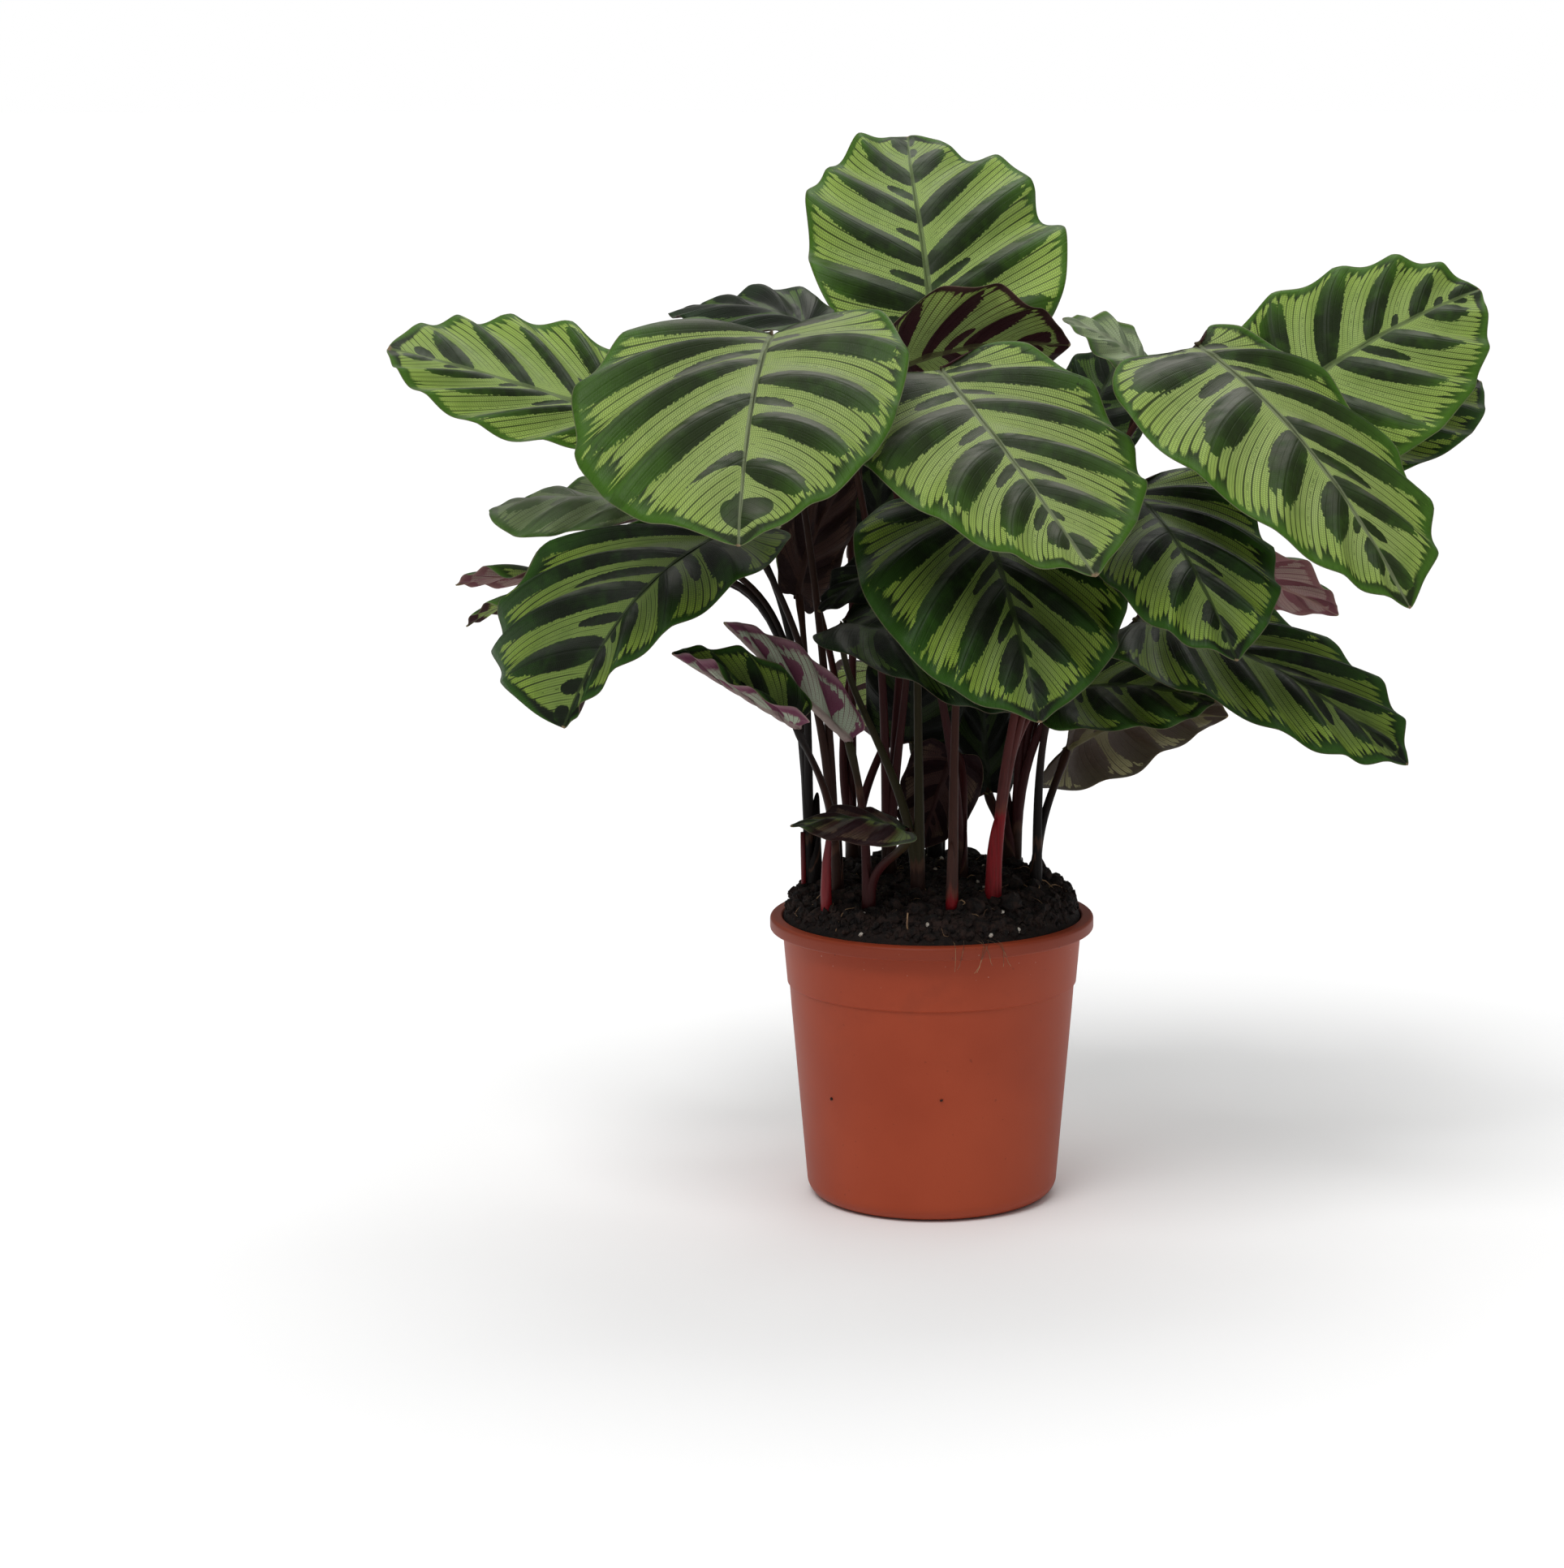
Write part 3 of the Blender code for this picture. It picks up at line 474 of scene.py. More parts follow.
class Pattern:
    """The pattern of a leaf's skin, as masks from 0 to 1 in the coordinates of its veins.

    around goes from 0 at the stalk to 1 at the tip, out from 0 at the midrib to 1 at the edge, and turn
    counts the blotches. A strip lies between two fine veins, and a cell is a short piece of a third of one.
    """

    def __init__(self, finish, leaf, number):
        self.finish, self.leaf, self.number = finish, leaf, number
        self.around, across, run = finish.measure("vein")
        self.right = across > 0.0
        self.out = across.size()
        self.turn = band_turn(leaf, self.around, self.right)
        self.pleat = (self.turn + 0.5).floor()
        self.aside = (self.turn - self.pleat).size()
        self.line = self.turn * STRIPS
        strip = self.line.floor()
        self.within = self.line - strip - 0.5
        self.fine = self.line * 3.0
        self.rung = run * 0.8 + self.chance(self.fine.floor(), 0.7) * 4.0
        cell = finish.chance(self.fine.floor(), self.rung.floor(), self.right + number)
        self.cell, self.ragged, self.comb = cell, self.chance(strip, 0.3), self.chance(self.fine.floor(), 0.8)

    def chance(self, place, seed):
        """A number from 0 to 1 that is fixed for each place on each half of the leaf."""
        return self.finish.chance(place, self.right, self.number + seed)

    def either(self, left, right):
        """One value on the left half and another on the right one."""
        return left + (right - left) * self.right

    def blotches(self):
        """Dark blotches on the pleats, frayed at their sides and shorter near the tip."""
        leaf = self.leaf
        near_tip = self.around.ramp(0.84, 0.90) if leaf.cap else self.around.ramp(0.70, 1.0)
        length = (0.86 + 0.24 * self.chance(self.pleat, 0.1)) * self.either(*leaf.blotch[:2])
        length = length * (1.0 - (0.97 if leaf.cap else 0.3) * near_tip)
        teeth = (self.cell - 0.5) * 0.03 + (self.comb - 0.5) * 0.06 + (self.ragged - 0.5) * 0.10
        share = ((self.out + teeth * self.out.ramp(0.1, 0.6)) / length).least(1.0).most(0.0)
        widest = leaf.waist / (leaf.waist + BLOTCH_END)
        full = widest**leaf.waist * (1 - widest) ** BLOTCH_END
        bulge = (share + 0.01) ** leaf.waist * (1.0 - share) ** BLOTCH_END * (1 / full)
        half = (0.86 + 0.28 * self.chance(self.pleat, 0.2)) * self.either(*leaf.blotch[2:]) * bulge
        off = self.aside + (self.cell - 0.5) * 0.020
        return (half.least(0.42) - off).ramp(-0.006, 0.012)

    def spots(self):
        """Small dark spots next to the midrib, some of the way out between two blotches."""
        luck = self.chance(self.turn.floor(), 0.4)
        length = 0.12 + 0.34 * luck * luck
        share = (self.out / length).least(1.0)
        bulge = (share + 0.02) ** 0.3 * (1.0 - share) ** 0.45 * 1.6
        half = bulge * (0.06 + 0.08 * luck) * (luck > 0.35)
        off = 0.5 - self.aside + (self.cell - 0.5) * 0.02
        return (half - off).ramp(-0.004, 0.012)

    def margin(self):
        """The green margin; its inner edge drifts, and is combed along the fine veins."""
        place = self.finish.vector(self.around * 6.0, self.right * 7.0, self.number)
        drift = self.finish.grain(place, 1.0, 1.0)
        feather = self.within.size() * 0.20 + self.ragged * 0.15 + self.comb * 0.05 + self.cell * 0.02
        reach = self.leaf.field + 0.10 + (drift - 0.5) * 0.14 - feather
        return self.out.ramp(reach - 0.035, reach + 0.020)

    def lines(self):
        """The fine veins between the strips, of uneven strength and broader towards the edge."""
        strength = self.chance((self.line + 0.5).floor(), 0.6)
        broad = 0.045 + (0.01 + 0.07 * strength) * self.out.ramp(0.20, 1.0)
        lines = self.within.size().ramp(0.470 - broad, 0.505 - broad) * (0.65 + 0.35 * strength)
        return lines * self.out.ramp(0.02, 0.18)

    def mesh(self):
        """The net of the finest veins."""
        step = (self.rung.fraction() - 0.5).size().ramp(0.32, 0.46)
        hair = (self.fine.fraction() - 0.5).size().ramp(0.32, 0.48)
        return step.most(hair * 0.8)

    def marks(self):
        """All the masks; middle is the middle of the leaf and vein the line along each pleat's crest."""
        return {
            "middle": (self.around - 0.55).size().ramp(0.34, 0.20) * self.out.ramp(0.05, 0.3),
            "out": self.out,
            "blotch": self.blotches().most(self.spots()),
            "margin": self.margin(),
            "lines": self.lines(),
            "mesh": self.mesh(),
            "vein": self.aside.ramp(0.028, 0.010) * self.out.ramp(0.95, 0.7),
        }


def leaf_face(finish, marks, palette, clouds, rib, edge):
    """The colour of one face of a leaf."""
    light, streak, blotch, margin, vein, midrib, sheen, rim = PALETTES[palette]
    outer = marks["out"].ramp(0.35, 0.95)
    band = finish.coat(blotch, (marks["out"].ramp(0.78, 0.98), margin))
    dark = finish.coat(
        blotch,
        (clouds * 0.30 + outer * 0.65, margin),
        # painted sheen on the blotches where they face upwards
        (marks["sheen"], sheen),
        (marks["vein"] * 0.35, blotch),
    )
    return finish.coat(
        light,
        (outer, streak),
        (marks["mesh"] * 0.80, vein),
        (clouds * 0.20, margin),
        (marks["lines"] * 0.9, blotch),
        (marks["margin"], band),
        (marks["blotch"], dark),
        (rib * 0.85, midrib),
        (edge * 0.6, rim),
    )


def leaf_finish(leaf, number, length):
    """A leaf's material: light field, dark blotches along the veins, green margin, fine veins, dry tip."""
    finish = Finish(f"leaf_{leaf.name}", specular=0.2)
    flat_x, flat_y, gap = finish.measure("flat")
    under, upward, _ = finish.measure("under")
    place = finish.vector(flat_x, flat_y, number * 37.0)
    marks = Pattern(finish, leaf, number).marks()
    # painted sheen: a grey highlight painted in patches on the flanks of the pleats that face upwards, where
    # light from above would catch them
    patches = finish.grain(finish.vector(flat_x, flat_y * 0.4, number * 11.0), 0.12, 2.0).ramp(0.25, 0.6)
    marks["sheen"] = upward.ramp(0.55, 1.0) * patches * marks["out"].ramp(0.95, 0.5) * 0.75
    clouds = finish.grain(place, 0.09, 2.0).ramp(0.42, 0.78)
    wavering = gap + (finish.grain(place, 0.45, 2.0) - 0.5) * 3.0 - (flat_x / length).ramp(0.72, 1.0) * 2.5
    marks["margin"] = marks["margin"].most(wavering.ramp(GREEN_EDGE, GREEN_EDGE - 1.8))
    if leaf.cap:
        past = (flat_x / length + flat_y.size() * (0.25 / length) - 0.90) / leaf.cap
        wide = (flat_y.size() + flat_y * 0.25) / (length * leaf.cap * 1.35)
        marks["blotch"] = marks["blotch"].most((past * past + wide * wide).ramp(1.04, 0.96))
    rib_half = 2.1 - flat_x * (1.4 / length)
    rib = (rib_half - flat_y.size()).ramp(-0.25, 0.35)
    edge = gap.ramp(0.6, 0.15)
    upper = leaf_face(finish, marks, leaf.upper, clouds, rib, edge)
    lower = leaf_face(finish, marks, leaf.under, clouds, rib, edge)
    if leaf.blush:
        upper = finish.coat(upper, (marks["middle"] * leaf.blush, lower))
    # painted reflection: a pale grey haze painted on upper faces that look straight up, for the sky they
    # would mirror
    painted_sky_reflection = upward.ramp(0.80, 1.0) * (1.0 - under) * patches * 0.3
    to_tip = ((length - flat_x) ** 2.0 + flat_y * flat_y).root()
    frayed = to_tip + (finish.grain(place, 0.8) - 0.5) * leaf.dry
    dry = frayed.ramp(leaf.dry, leaf.dry * 0.55)
    dried = finish.coat((96, 72, 48), (finish.grain(place, 1.6), (176, 158, 124)))
    colour = finish.coat(upper, (under, lower), (painted_sky_reflection, (150, 150, 140)), (dry, dried))
    gloss = finish.grain(place, 0.35) * 0.16 + 0.32 + under * 0.2
    finish.paint(colour, gloss + dry * 0.2)
    grooves = marks["mesh"] * -0.35 - marks["lines"] * 0.9 - marks["vein"]
    finish.relief(grooves + finish.grain(place, 1.3, 2.0) * 0.8, 0.00018)
    add_glow(finish, colour)
    return finish.material


def add_glow(finish, colour):
    """Lets some of the light from behind through a blade."""
    glow = finish.node("ShaderNodeBsdfTranslucent", None, {"Color": colour})
    output = finish.tree.nodes["Material Output"]
    skin = Wire(finish, finish.surface.outputs[0])
    both = finish.node("ShaderNodeMixShader", None, {0: SEE_THROUGH, 1: skin, 2: glow})
    finish.put(output.inputs["Surface"], both)


def stalk_finish(name, foot, middle, top, foot_height):
    """Stalk skin: its colours change from foot to top, with streaks, pale dots and a dry sheath tip."""
    finish = Finish(f"stalk_{name}", specular=0.12)
    up, angle, along = finish.measure("stalk")
    place = finish.vector(angle * 1.6, along * 0.035, number_of(name) * 3.0)
    streak = finish.grain(place, 2.4, 4.0)
    height = along - 18.0 + (finish.grain(place, 0.9, 1.0) - 0.5) * 14.0
    sheath_tip = (height - foot_height).size().ramp(4.0, 1.0)
    dots = finish.grain(finish.vector(angle * 4.0, along * 0.9, 1.0), 2.0, 1.0).ramp(0.72, 0.78)
    colour = finish.coat(
        BARK[foot],
        (height.ramp(foot_height - 4.0, foot_height + 5.0), BARK[middle]),
        (up.ramp(0.55, 0.95), BARK[top]),
        (sheath_tip * 0.5, (84, 56, 42)),
        (streak.ramp(0.45, 0.75) * 0.5, (34, 24, 20)),
        (dots * 0.25, (120, 100, 84)),
    )
    finish.paint(colour, streak * 0.25 + 0.36)
    finish.relief(streak, 0.0002)
    return finish.material


def number_of(name):
    """A fixed number for a shoot's name."""
    return float(list(SHOOTS).index(name) + 1)


def soil_finish():
    finish = Finish("soil", roughness=0.95, specular=0.25)
    place = finish.object_place()
    clump = finish.grain(place, 160.0, 5.0, 0.7)
    grit = finish.grain(place, 900.0, 3.0)
    coats = (clump.ramp(0.35, 0.7), (38, 27, 23)), (grit.ramp(0.62, 0.75) * 0.6, (72, 54, 44))
    colour = finish.coat((12, 8, 8), *coats)
    finish.paint(colour, clump * 0.25 + 0.72)
    finish.relief(clump * 0.7 + grit * 0.4, 0.0012)
    return finish.material


def crumb_finish():
    finish = Finish("soil_crumbs", roughness=0.9, specular=0.25)
    place = finish.object_place()
    patch = finish.grain(place, 240.0, 3.0)
    colour = finish.coat((12, 8, 7), (patch.ramp(0.35, 0.72), (46, 32, 27)))
    finish.paint(colour, patch * 0.3 + 0.65)
    finish.relief(finish.grain(place, 1400.0, 3.0), 0.0005)
    return finish.material


def perlite_finish():
    finish = Finish("perlite", roughness=0.85)
    place = finish.object_place()
    pores = finish.grain(place, 1500.0, 4.0, 0.7)
    finish.paint(finish.coat((150, 136, 122), (pores.ramp(0.35, 0.65), (226, 220, 210))))
    finish.relief(pores, 0.0005)
    return finish.material


def fibre_finish():
    finish = Finish("root_fibre", roughness=0.8)
    place = finish.object_place()
    shade = finish.grain(place, 130.0, 3.0)
    finish.paint(finish.coat((84, 60, 44), (shade.ramp(0.35, 0.65), (164, 132, 96))))
    return finish.material


def pot_finish():
    """Matt clay-coloured moulded plastic, a little dusty, with splashes of soil under the rim."""
    finish = Finish("clay_plastic", specular=0.2)
    place = finish.object_place()
    cloud = finish.grain(place, 9.0, 3.0)
    skin = finish.grain(place, 1600.0, 2.0)
    z = finish.apart(place)[2]
    stain = finish.grain(place, 34.0, 4.0, 0.65).ramp(0.56, 0.74) * z.ramp(0.05, 0.15)
    specks = finish.grain(place, 420.0, 1.0).ramp(0.76, 0.79) * (0.35 + 0.65 * z.ramp(0.135, 0.143))
    dust = finish.grain(place, 520.0, 1.0).ramp(0.775, 0.80) * z.ramp(0.120, 0.148)
    # the rim's outer face is painted darker: partly painted shade from the leaves above it, partly wear
    rim = z.ramp(0.1425, 0.1440) * z.ramp(0.1502, 0.1488)
    colour = finish.coat(
        (150, 60, 34),
        (cloud.ramp(0.3, 0.7), (164, 70, 42)),
        (stain * 0.22, (104, 48, 34)),
        (specks * 0.8, (58, 34, 26)),
        (dust * 0.7, (214, 190, 172)),
        # painted shade and wear on the rim
        (rim * 0.55, (104, 42, 28)),
    )
    finish.paint(colour, cloud * 0.14 + 0.42 + dust * 0.3)
    finish.relief(skin, 0.00004)
    return finish.material


# ---------------------------------------------------------------- meshes


def add_piece(name, points, faces, material, nodes=(), measures=None):
    """A smooth mesh piece, its points in millimetres, that rides with the plant."""
    mesh = bpy.data.meshes.new(name)
    mesh.from_pydata((np.asarray(points) * MM).tolist(), [], faces)
    for key, values in (measures or {}).items():
        layer = mesh.attributes.new(key, "FLOAT_VECTOR", "POINT")
        layer.data.foreach_set("vector", np.asarray(values, dtype=np.float32).ravel())
    mesh.validate()
    mesh.shade_smooth()
    piece = bpy.data.objects.new(name, mesh)
    bpy.context.scene.collection.objects.link(piece)
    mesh.materials.append(material)
    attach(piece, "root")
    if nodes:
        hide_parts(*nodes)
    return piece


def grid_faces(rows, columns, start=0, closed=False):
    """Quads between rows of points; a closed grid joins its last column to its first."""
    faces = []
    for row in range(rows - 1):
        for column in range(columns if closed else columns - 1):
            after = (column + 1) % columns
            a, b = start + row * columns + column, start + row * columns + after
            faces.append((a, b, b + columns, a + columns))
    return faces


def unit(vectors):
    return vectors / np.maximum(np.linalg.norm(vectors, axis=-1, keepdims=True), 1e-9)


def polar(radius, angle):
    return radius * math.cos(angle), radius * math.sin(angle)


def travelled(line):
    """Length of a line up to each of its points."""
    lengths = [0.0]
    for before, after in zip(line, line[1:]):
        lengths.append(lengths[-1] + (after - before).length)
    return lengths


def merge(parts):
    """Several (points, faces, measures) as one."""
    points, faces, measures = [], [], []
    for part_points, part_faces, part_measures in parts:
        start = sum(len(p) for p in points)
        points.append(np.asarray(part_points))
        faces += [tuple(start + i for i in face) for face in part_faces]
        measures += list(part_measures)
    return np.concatenate(points), faces, measures


def add_heap(name, parts, material):
    """One piece made of several (points, faces, measures)."""
    points, faces, _ = merge(parts)
    return add_piece(name, points, faces, material)


class Midrib:
    """The blade's midrib in space, with a side and a normal at each point of it."""

    SAMPLES = 241

    def __init__(self, leaf):
        start, end, face = Vector(leaf.base), Vector(leaf.tip), Vector(leaf.face)
        chord = end - start
        lift = (face - face.project(chord)).normalized() * chord.length
        right = chord.cross(lift).normalized() * chord.length
        knee_1 = start + chord / 3 + lift * leaf.bow[0] + right * leaf.sway[0]
        knee_2 = start + chord * 2 / 3 + lift * leaf.bow[1] + right * leaf.sway[1]
        self.points = np.array(interpolate_bezier(start, knee_1, knee_2, end, self.SAMPLES))
        steps = np.linalg.norm(np.diff(self.points, axis=0), axis=1)
        self.lengths = np.concatenate([[0.0], np.cumsum(steps)])
        self.length = self.lengths[-1]
        self.tangents = unit(np.gradient(self.points, axis=0))
        self.face = np.array(leaf.face, dtype=float)

    def at(self, along):
        """(points, tangents, sides, normals) at lengths along the midrib; before 0 it runs straight on."""
        held = np.clip(along, 0.0, self.length)
        point = np.stack([np.interp(held, self.lengths, axis) for axis in self.points.T], -1)
        tangent = unit(np.stack([np.interp(held, self.lengths, axis) for axis in self.tangents.T], -1))
        point = point + tangent * np.minimum(along, 0.0)[..., None]
        side = unit(np.cross(tangent, self.face))
        return point, tangent, side, np.cross(side, tangent)


def edge_point(leaf, around, length, which):
    """The flat blade's edge; around goes from 0 at the stalk to 1 at the tip."""
    angle = math.pi * (around + 0.5 * around * (1 - around) ** 2)
    notch = 0.10 * np.exp(-((angle / 0.30) ** 2))
    drawn_out = TIP_POINT * np.exp(-(((math.pi - angle) / 0.16) ** 2))
    along = (0.45 - 0.55 * np.cos(angle) + notch + drawn_out) / (1 + TIP_POINT)
    slimness = 0.70 + (leaf.point - 0.70) * angle / math.pi
    across = np.maximum(np.sin(angle), 0.0) ** slimness * (1 + leaf.taper[which] * np.cos(angle))
    across = across * (1 + SCALLOP * crests(band_turn(leaf, around, which)))
    return along * length, across * leaf.halves[which]


def vein_point(leaf, around, out, length, which):
    """The flat blade's point on the vein that ends at edge_point(around); out is 0 at the midrib."""
    start = length * around ** leaf.lean[which]
    end_x, end_y = edge_point(leaf, around, length, which)
    straight = leaf.lean[which] - 2.2
    knee_x = start + (0.45 + 0.12 * straight) * (end_x - start)
    knee_y = (0.72 - 0.15 * straight) * end_y
    x = (1 - out) ** 2 * start + 2 * out * (1 - out) * knee_x + out**2 * end_x
    y = 2 * out * (1 - out) * knee_y + out**2 * end_y
    return x, y


def band_turn(leaf, around, which):
    """Counts the dark blotches of a half from its base; whole numbers lie on their middle."""
    return (around * 0.3 + around**2 * 0.7) * (leaf.rows * BANDS) + which * 0.5


def crests(turn):
    """Height of pleats, 1 on a whole turn and -1 half-way to the next."""
    return 1 - 2 * np.abs(np.sin(math.pi * turn)) ** 1.4


def half_blade(leaf, midrib, around, out, which):
    """Points of one half in space, and the same points on the flat blade."""
    side = 1 if which else -1
    half = leaf.halves[which]
    x, y = vein_point(leaf, around, out, midrib.length, which)
    point, _, across, normal = midrib.at(x)
    fold = math.radians(leaf.fold[which])
    bend = math.radians(leaf.droop[which]) / half * (0.4 + 1.2 * around)
    end = fold - bend * y
    sideways = (math.sin(fold) - np.sin(end)) / bend
    upwards = (np.cos(end) - math.cos(fold)) / bend
    lean = normal * np.cos(end)[..., None] - across * side * np.sin(end)[..., None]
    ripple = crests((around * leaf.rows + leaf.phase + which) / 2)
    height, number, phase = leaf.swell[which]
    slow = height * np.sin(2 * math.pi * (number * around + phase)) * out**2
    ends = np.maximum(np.sin(math.pi * around), 0.0) ** 0.6
    pleats = PLEAT_DEPTH * midrib.length / (leaf.rows * BANDS) * crests(band_turn(leaf, around, which))
    rise = np.sin(math.pi / 2 * np.minimum(out * 1.7, 1.0)) ** 0.8 * (1 - 0.65 * out**5)
    ruffle = (leaf.wave * 0.8 * ripple * out**1.6 + slow + pleats * rise) * ends
    placed = point + across * side * sideways[..., None] + normal * upwards[..., None]
    placed = placed + lean * ruffle[..., None]
    return placed, x, y * side


def edge_gaps(x, y):
    """Distance of each point of a flat blade to its outline."""
    outline_x = np.concatenate([x[:, 0], x[:, -1]])
    outline_y = np.concatenate([y[:, 0], y[:, -1]])
    dense = np.stack([outline_x, outline_y], -1)
    flat = np.stack([x, y], -1)
    return np.sqrt(((flat[:, :, None, :] - dense) ** 2).sum(-1)).min(-1)


def build_blade(leaf, number):
    """A thin closed blade, creased along its veins, with a rounded midrib below."""
    midrib = Midrib(leaf)
    rows = leaf.rows * ROWS_PER_WAVE + 1
    places = 1 - (1 - np.linspace(0.0, 1.0, rows)[:, None]) ** 1.25
    around = places + np.zeros(len(OUTS))
    out = OUTS[None, :] + np.zeros((rows, 1))
    left, left_x, left_y = half_blade(leaf, midrib, around, out, 0)
    right, right_x, right_y = half_blade(leaf, midrib, around, out, 1)
    pairs = ((left, right), (left_x, right_x), (left_y, right_y))
    surface, x, y = (np.concatenate([a[:, :0:-1], b], axis=1) for a, b in pairs)
    signed = np.concatenate([-OUTS[:0:-1], OUTS])[None, :] + np.zeros((rows, 1))
    columns = len(signed[0])
    middle = len(OUTS) - 1
    steps = np.linalg.norm(np.diff(surface, axis=1), axis=2)
    travel = np.concatenate([np.zeros((rows, 1)), np.cumsum(steps, axis=1)], axis=1)
    run = np.abs(travel - travel[:, middle : middle + 1])

    normals = unit(np.cross(np.gradient(surface, axis=1), np.gradient(surface, axis=0)))
    normals[0], normals[-1] = normals[1, middle], normals[-2, middle]
    up = midrib.at(np.array([midrib.length / 2]))[3][0]
    if (normals[rows // 2, middle] * up).sum() < 0:
        normals = -normals
    share = np.clip(x / midrib.length, 0.0, 1.0)
    hump = np.exp(-((y / (1.5 - 0.8 * share)) ** 2))
    sheet = BLADE_SHEET + (BLADE_EDGE - BLADE_SHEET) * np.abs(signed) ** 3
    ridge = (RIB_THICKNESS - 0.5) * (1 - share) ** 0.7
    top = surface - normals * (0.35 * hump * (1 - share))[..., None]
    bottom = surface - normals * (sheet + ridge * hump)[..., None]
    flat = (places + np.zeros(columns), signed, run, x, y, normals[..., 2])
    blade_piece(leaf, number, midrib, top, bottom, flat)


def blade_piece(leaf, number, midrib, top, bottom, flat):
    """Joins a blade's two faces at the edge, the base and the tip, and gives it its measures."""
    around, signed, run, x, y, upward = flat
    rows, columns = signed.shape
    inner = slice(1, rows - 1)
    count = (rows - 2) * columns
    gaps = edge_gaps(x, y)

    def sheet(grid):
        """The grid's rows as one list; its first and last rows are one point each."""
        return np.vstack([grid[0, columns // 2], grid[inner].reshape(-1, 3), grid[-1, columns // 2]])

    def measure(*values):
        return np.concatenate([sheet(np.stack(values, -1))] * 2)

    points = np.concatenate([sheet(top), sheet(bottom)])
    single = count + 2
    faces = []
    for layer in (0, 1):
        start = layer * single
        quads = grid_faces(rows - 2, columns, start + 1)
        last = start + 1 + count - columns
        fans = [(start, start + 2 + c, start + 1 + c) for c in range(columns - 1)]
        fans += [(last + c, last + c + 1, start + count + 1) for c in range(columns - 1)]
        found = quads + fans
        faces += [tuple(reversed(f)) for f in found] if layer else found
    for column, flip in ((0, False), (columns - 1, True)):
        line = [0] + [1 + row * columns + column for row in range(rows - 2)] + [count + 1]
        for a, b in zip(line, line[1:]):
            rim = (a, b, b + single, a + single)
            faces.append(tuple(reversed(rim)) if flip else rim)
    is_under = np.repeat([[0.0, 0.0, 0.0], [1.0, 0.0, 0.0]], single, axis=0)
    measures = {
        "vein": measure(around, signed, run),
        "flat": measure(x, y, gaps),
        # under also carries how far each point faces upwards, which places the painted sheen and painted
        # reflection
        "under": measure(x * 0.0, upward, x) + is_under,
    }
    material = leaf_finish(leaf, number, midrib.length)
    nodes = [f"leaf_{leaf.name}"]
    face_outwards(add_piece(f"blade_{leaf.name}", points, faces, material, nodes, measures))


def face_outwards(piece):
    """Turns every face of a closed mesh outwards."""
    made = bmesh.new()
    made.from_mesh(piece.data)
    bmesh.ops.recalc_face_normals(made, faces=made.faces)
    made.to_mesh(piece.data)
    made.free()


# ---------------------------------------------------------------- stalks and shoots


def soil_height(x, y):
    """Height of the soil's smooth surface at x, y, all in millimetres."""
    across = min(1.0, math.hypot(x, y) / SOIL_RADIUS)
    mound = (MOUND_HEIGHT + MOUND_TILT * y / SOIL_RADIUS) * (1 - across**20)
    lump = noise.noise(Vector((x, y, 3.7)) / LUMP_SIZE) * SOIL_LUMP * (1 - across**8)
    return SOIL_EDGE_Z + mound + lump


def stalk_line(leaf, stalks):
    """Centre line of the leaf's stalk, from inside the soil to the blade."""
    joint, tangent, _, normal = [Vector(value[0]) for value in Midrib(leaf).at(np.zeros(1))]
    x, y = SHOOTS[leaf.shoot][0]
    ring = 0.6 * (SHOOT_RADIUS + SHOOT_GROWTH * stalks - STALK_FOOT_RADIUS - 0.5)
    outward = Vector((joint.x - x, joint.y - y, 0)).normalized() * ring
    ground = soil_height(x, y)
    foot = Vector((x, y, ground - SHEATH_DEPTH + 4)) + outward
    leave = Vector((x, y, ground + 6)) + outward
    reach = (joint - leave).length
    arrive = ((joint - leave).normalized() + tangent * 0.8 + normal * 0.35).normalized()
    end = joint - normal * (RIB_THICKNESS / 2) - arrive * (GAP + 0.2)
    low_x, low_y, high_x, high_y = leaf.swerve
    knee_1 = leave + Vector((low_x, low_y, reach * leaf.rise))
    knee_2 = end - arrive * reach * 0.28 + Vector((high_x, high_y, leaf.over))
    line = [foot] + list(interpolate_bezier(leave, knee_1, knee_2, end, STALK_STEPS))
    return line + [joint - normal * 0.9 + tangent * 2.5]


def tube(line, radii, sides, flat=1.0):
    """Points, faces and measures of a closed tube; flat squeezes its section."""
    points, measures = [], []
    last_side = Vector((1, 0, 0))
    gone = travelled(line)
    for index, (point, radius) in enumerate(zip(line, radii)):
        ahead, behind = line[min(index + 1, len(line) - 1)], line[max(index - 1, 0)]
        tangent = (ahead - behind).normalized()
        across = (last_side - last_side.project(tangent)).normalized()
        last_side = across
        over = tangent.cross(across)
        for step in range(sides):
            turn = 2 * math.pi * step / sides
            offset = across * math.cos(turn) + over * (math.sin(turn) * flat)
            points.append(point + offset * radius)
            measures.append((gone[index] / gone[-1], math.cos(turn), gone[index]))
    faces = grid_faces(len(line), sides, closed=True)
    faces.append(tuple(range(sides))[::-1])
    faces.append(tuple(range((len(line) - 1) * sides, len(line) * sides)))
    return np.array([tuple(p) for p in points]), faces, measures


def stalk_radii(line):
    """A sheathed foot, a slim middle and a slightly swollen joint below the blade."""
    lengths = travelled(line)
    radii = []
    for gone in lengths:
        share = gone / lengths[-1]
        left = lengths[-1] - gone
        slim = 1.5 + 0.95 * (1 - share) ** 1.2
        sheathed = 0.45 / (1 + math.exp((gone - 85) / 16))
        swollen = 0.7 * math.exp(-(((left - 7) / 8) ** 2))
        radii.append(slim + sheathed + swollen)
    radii[-1] = 0.7
    return radii


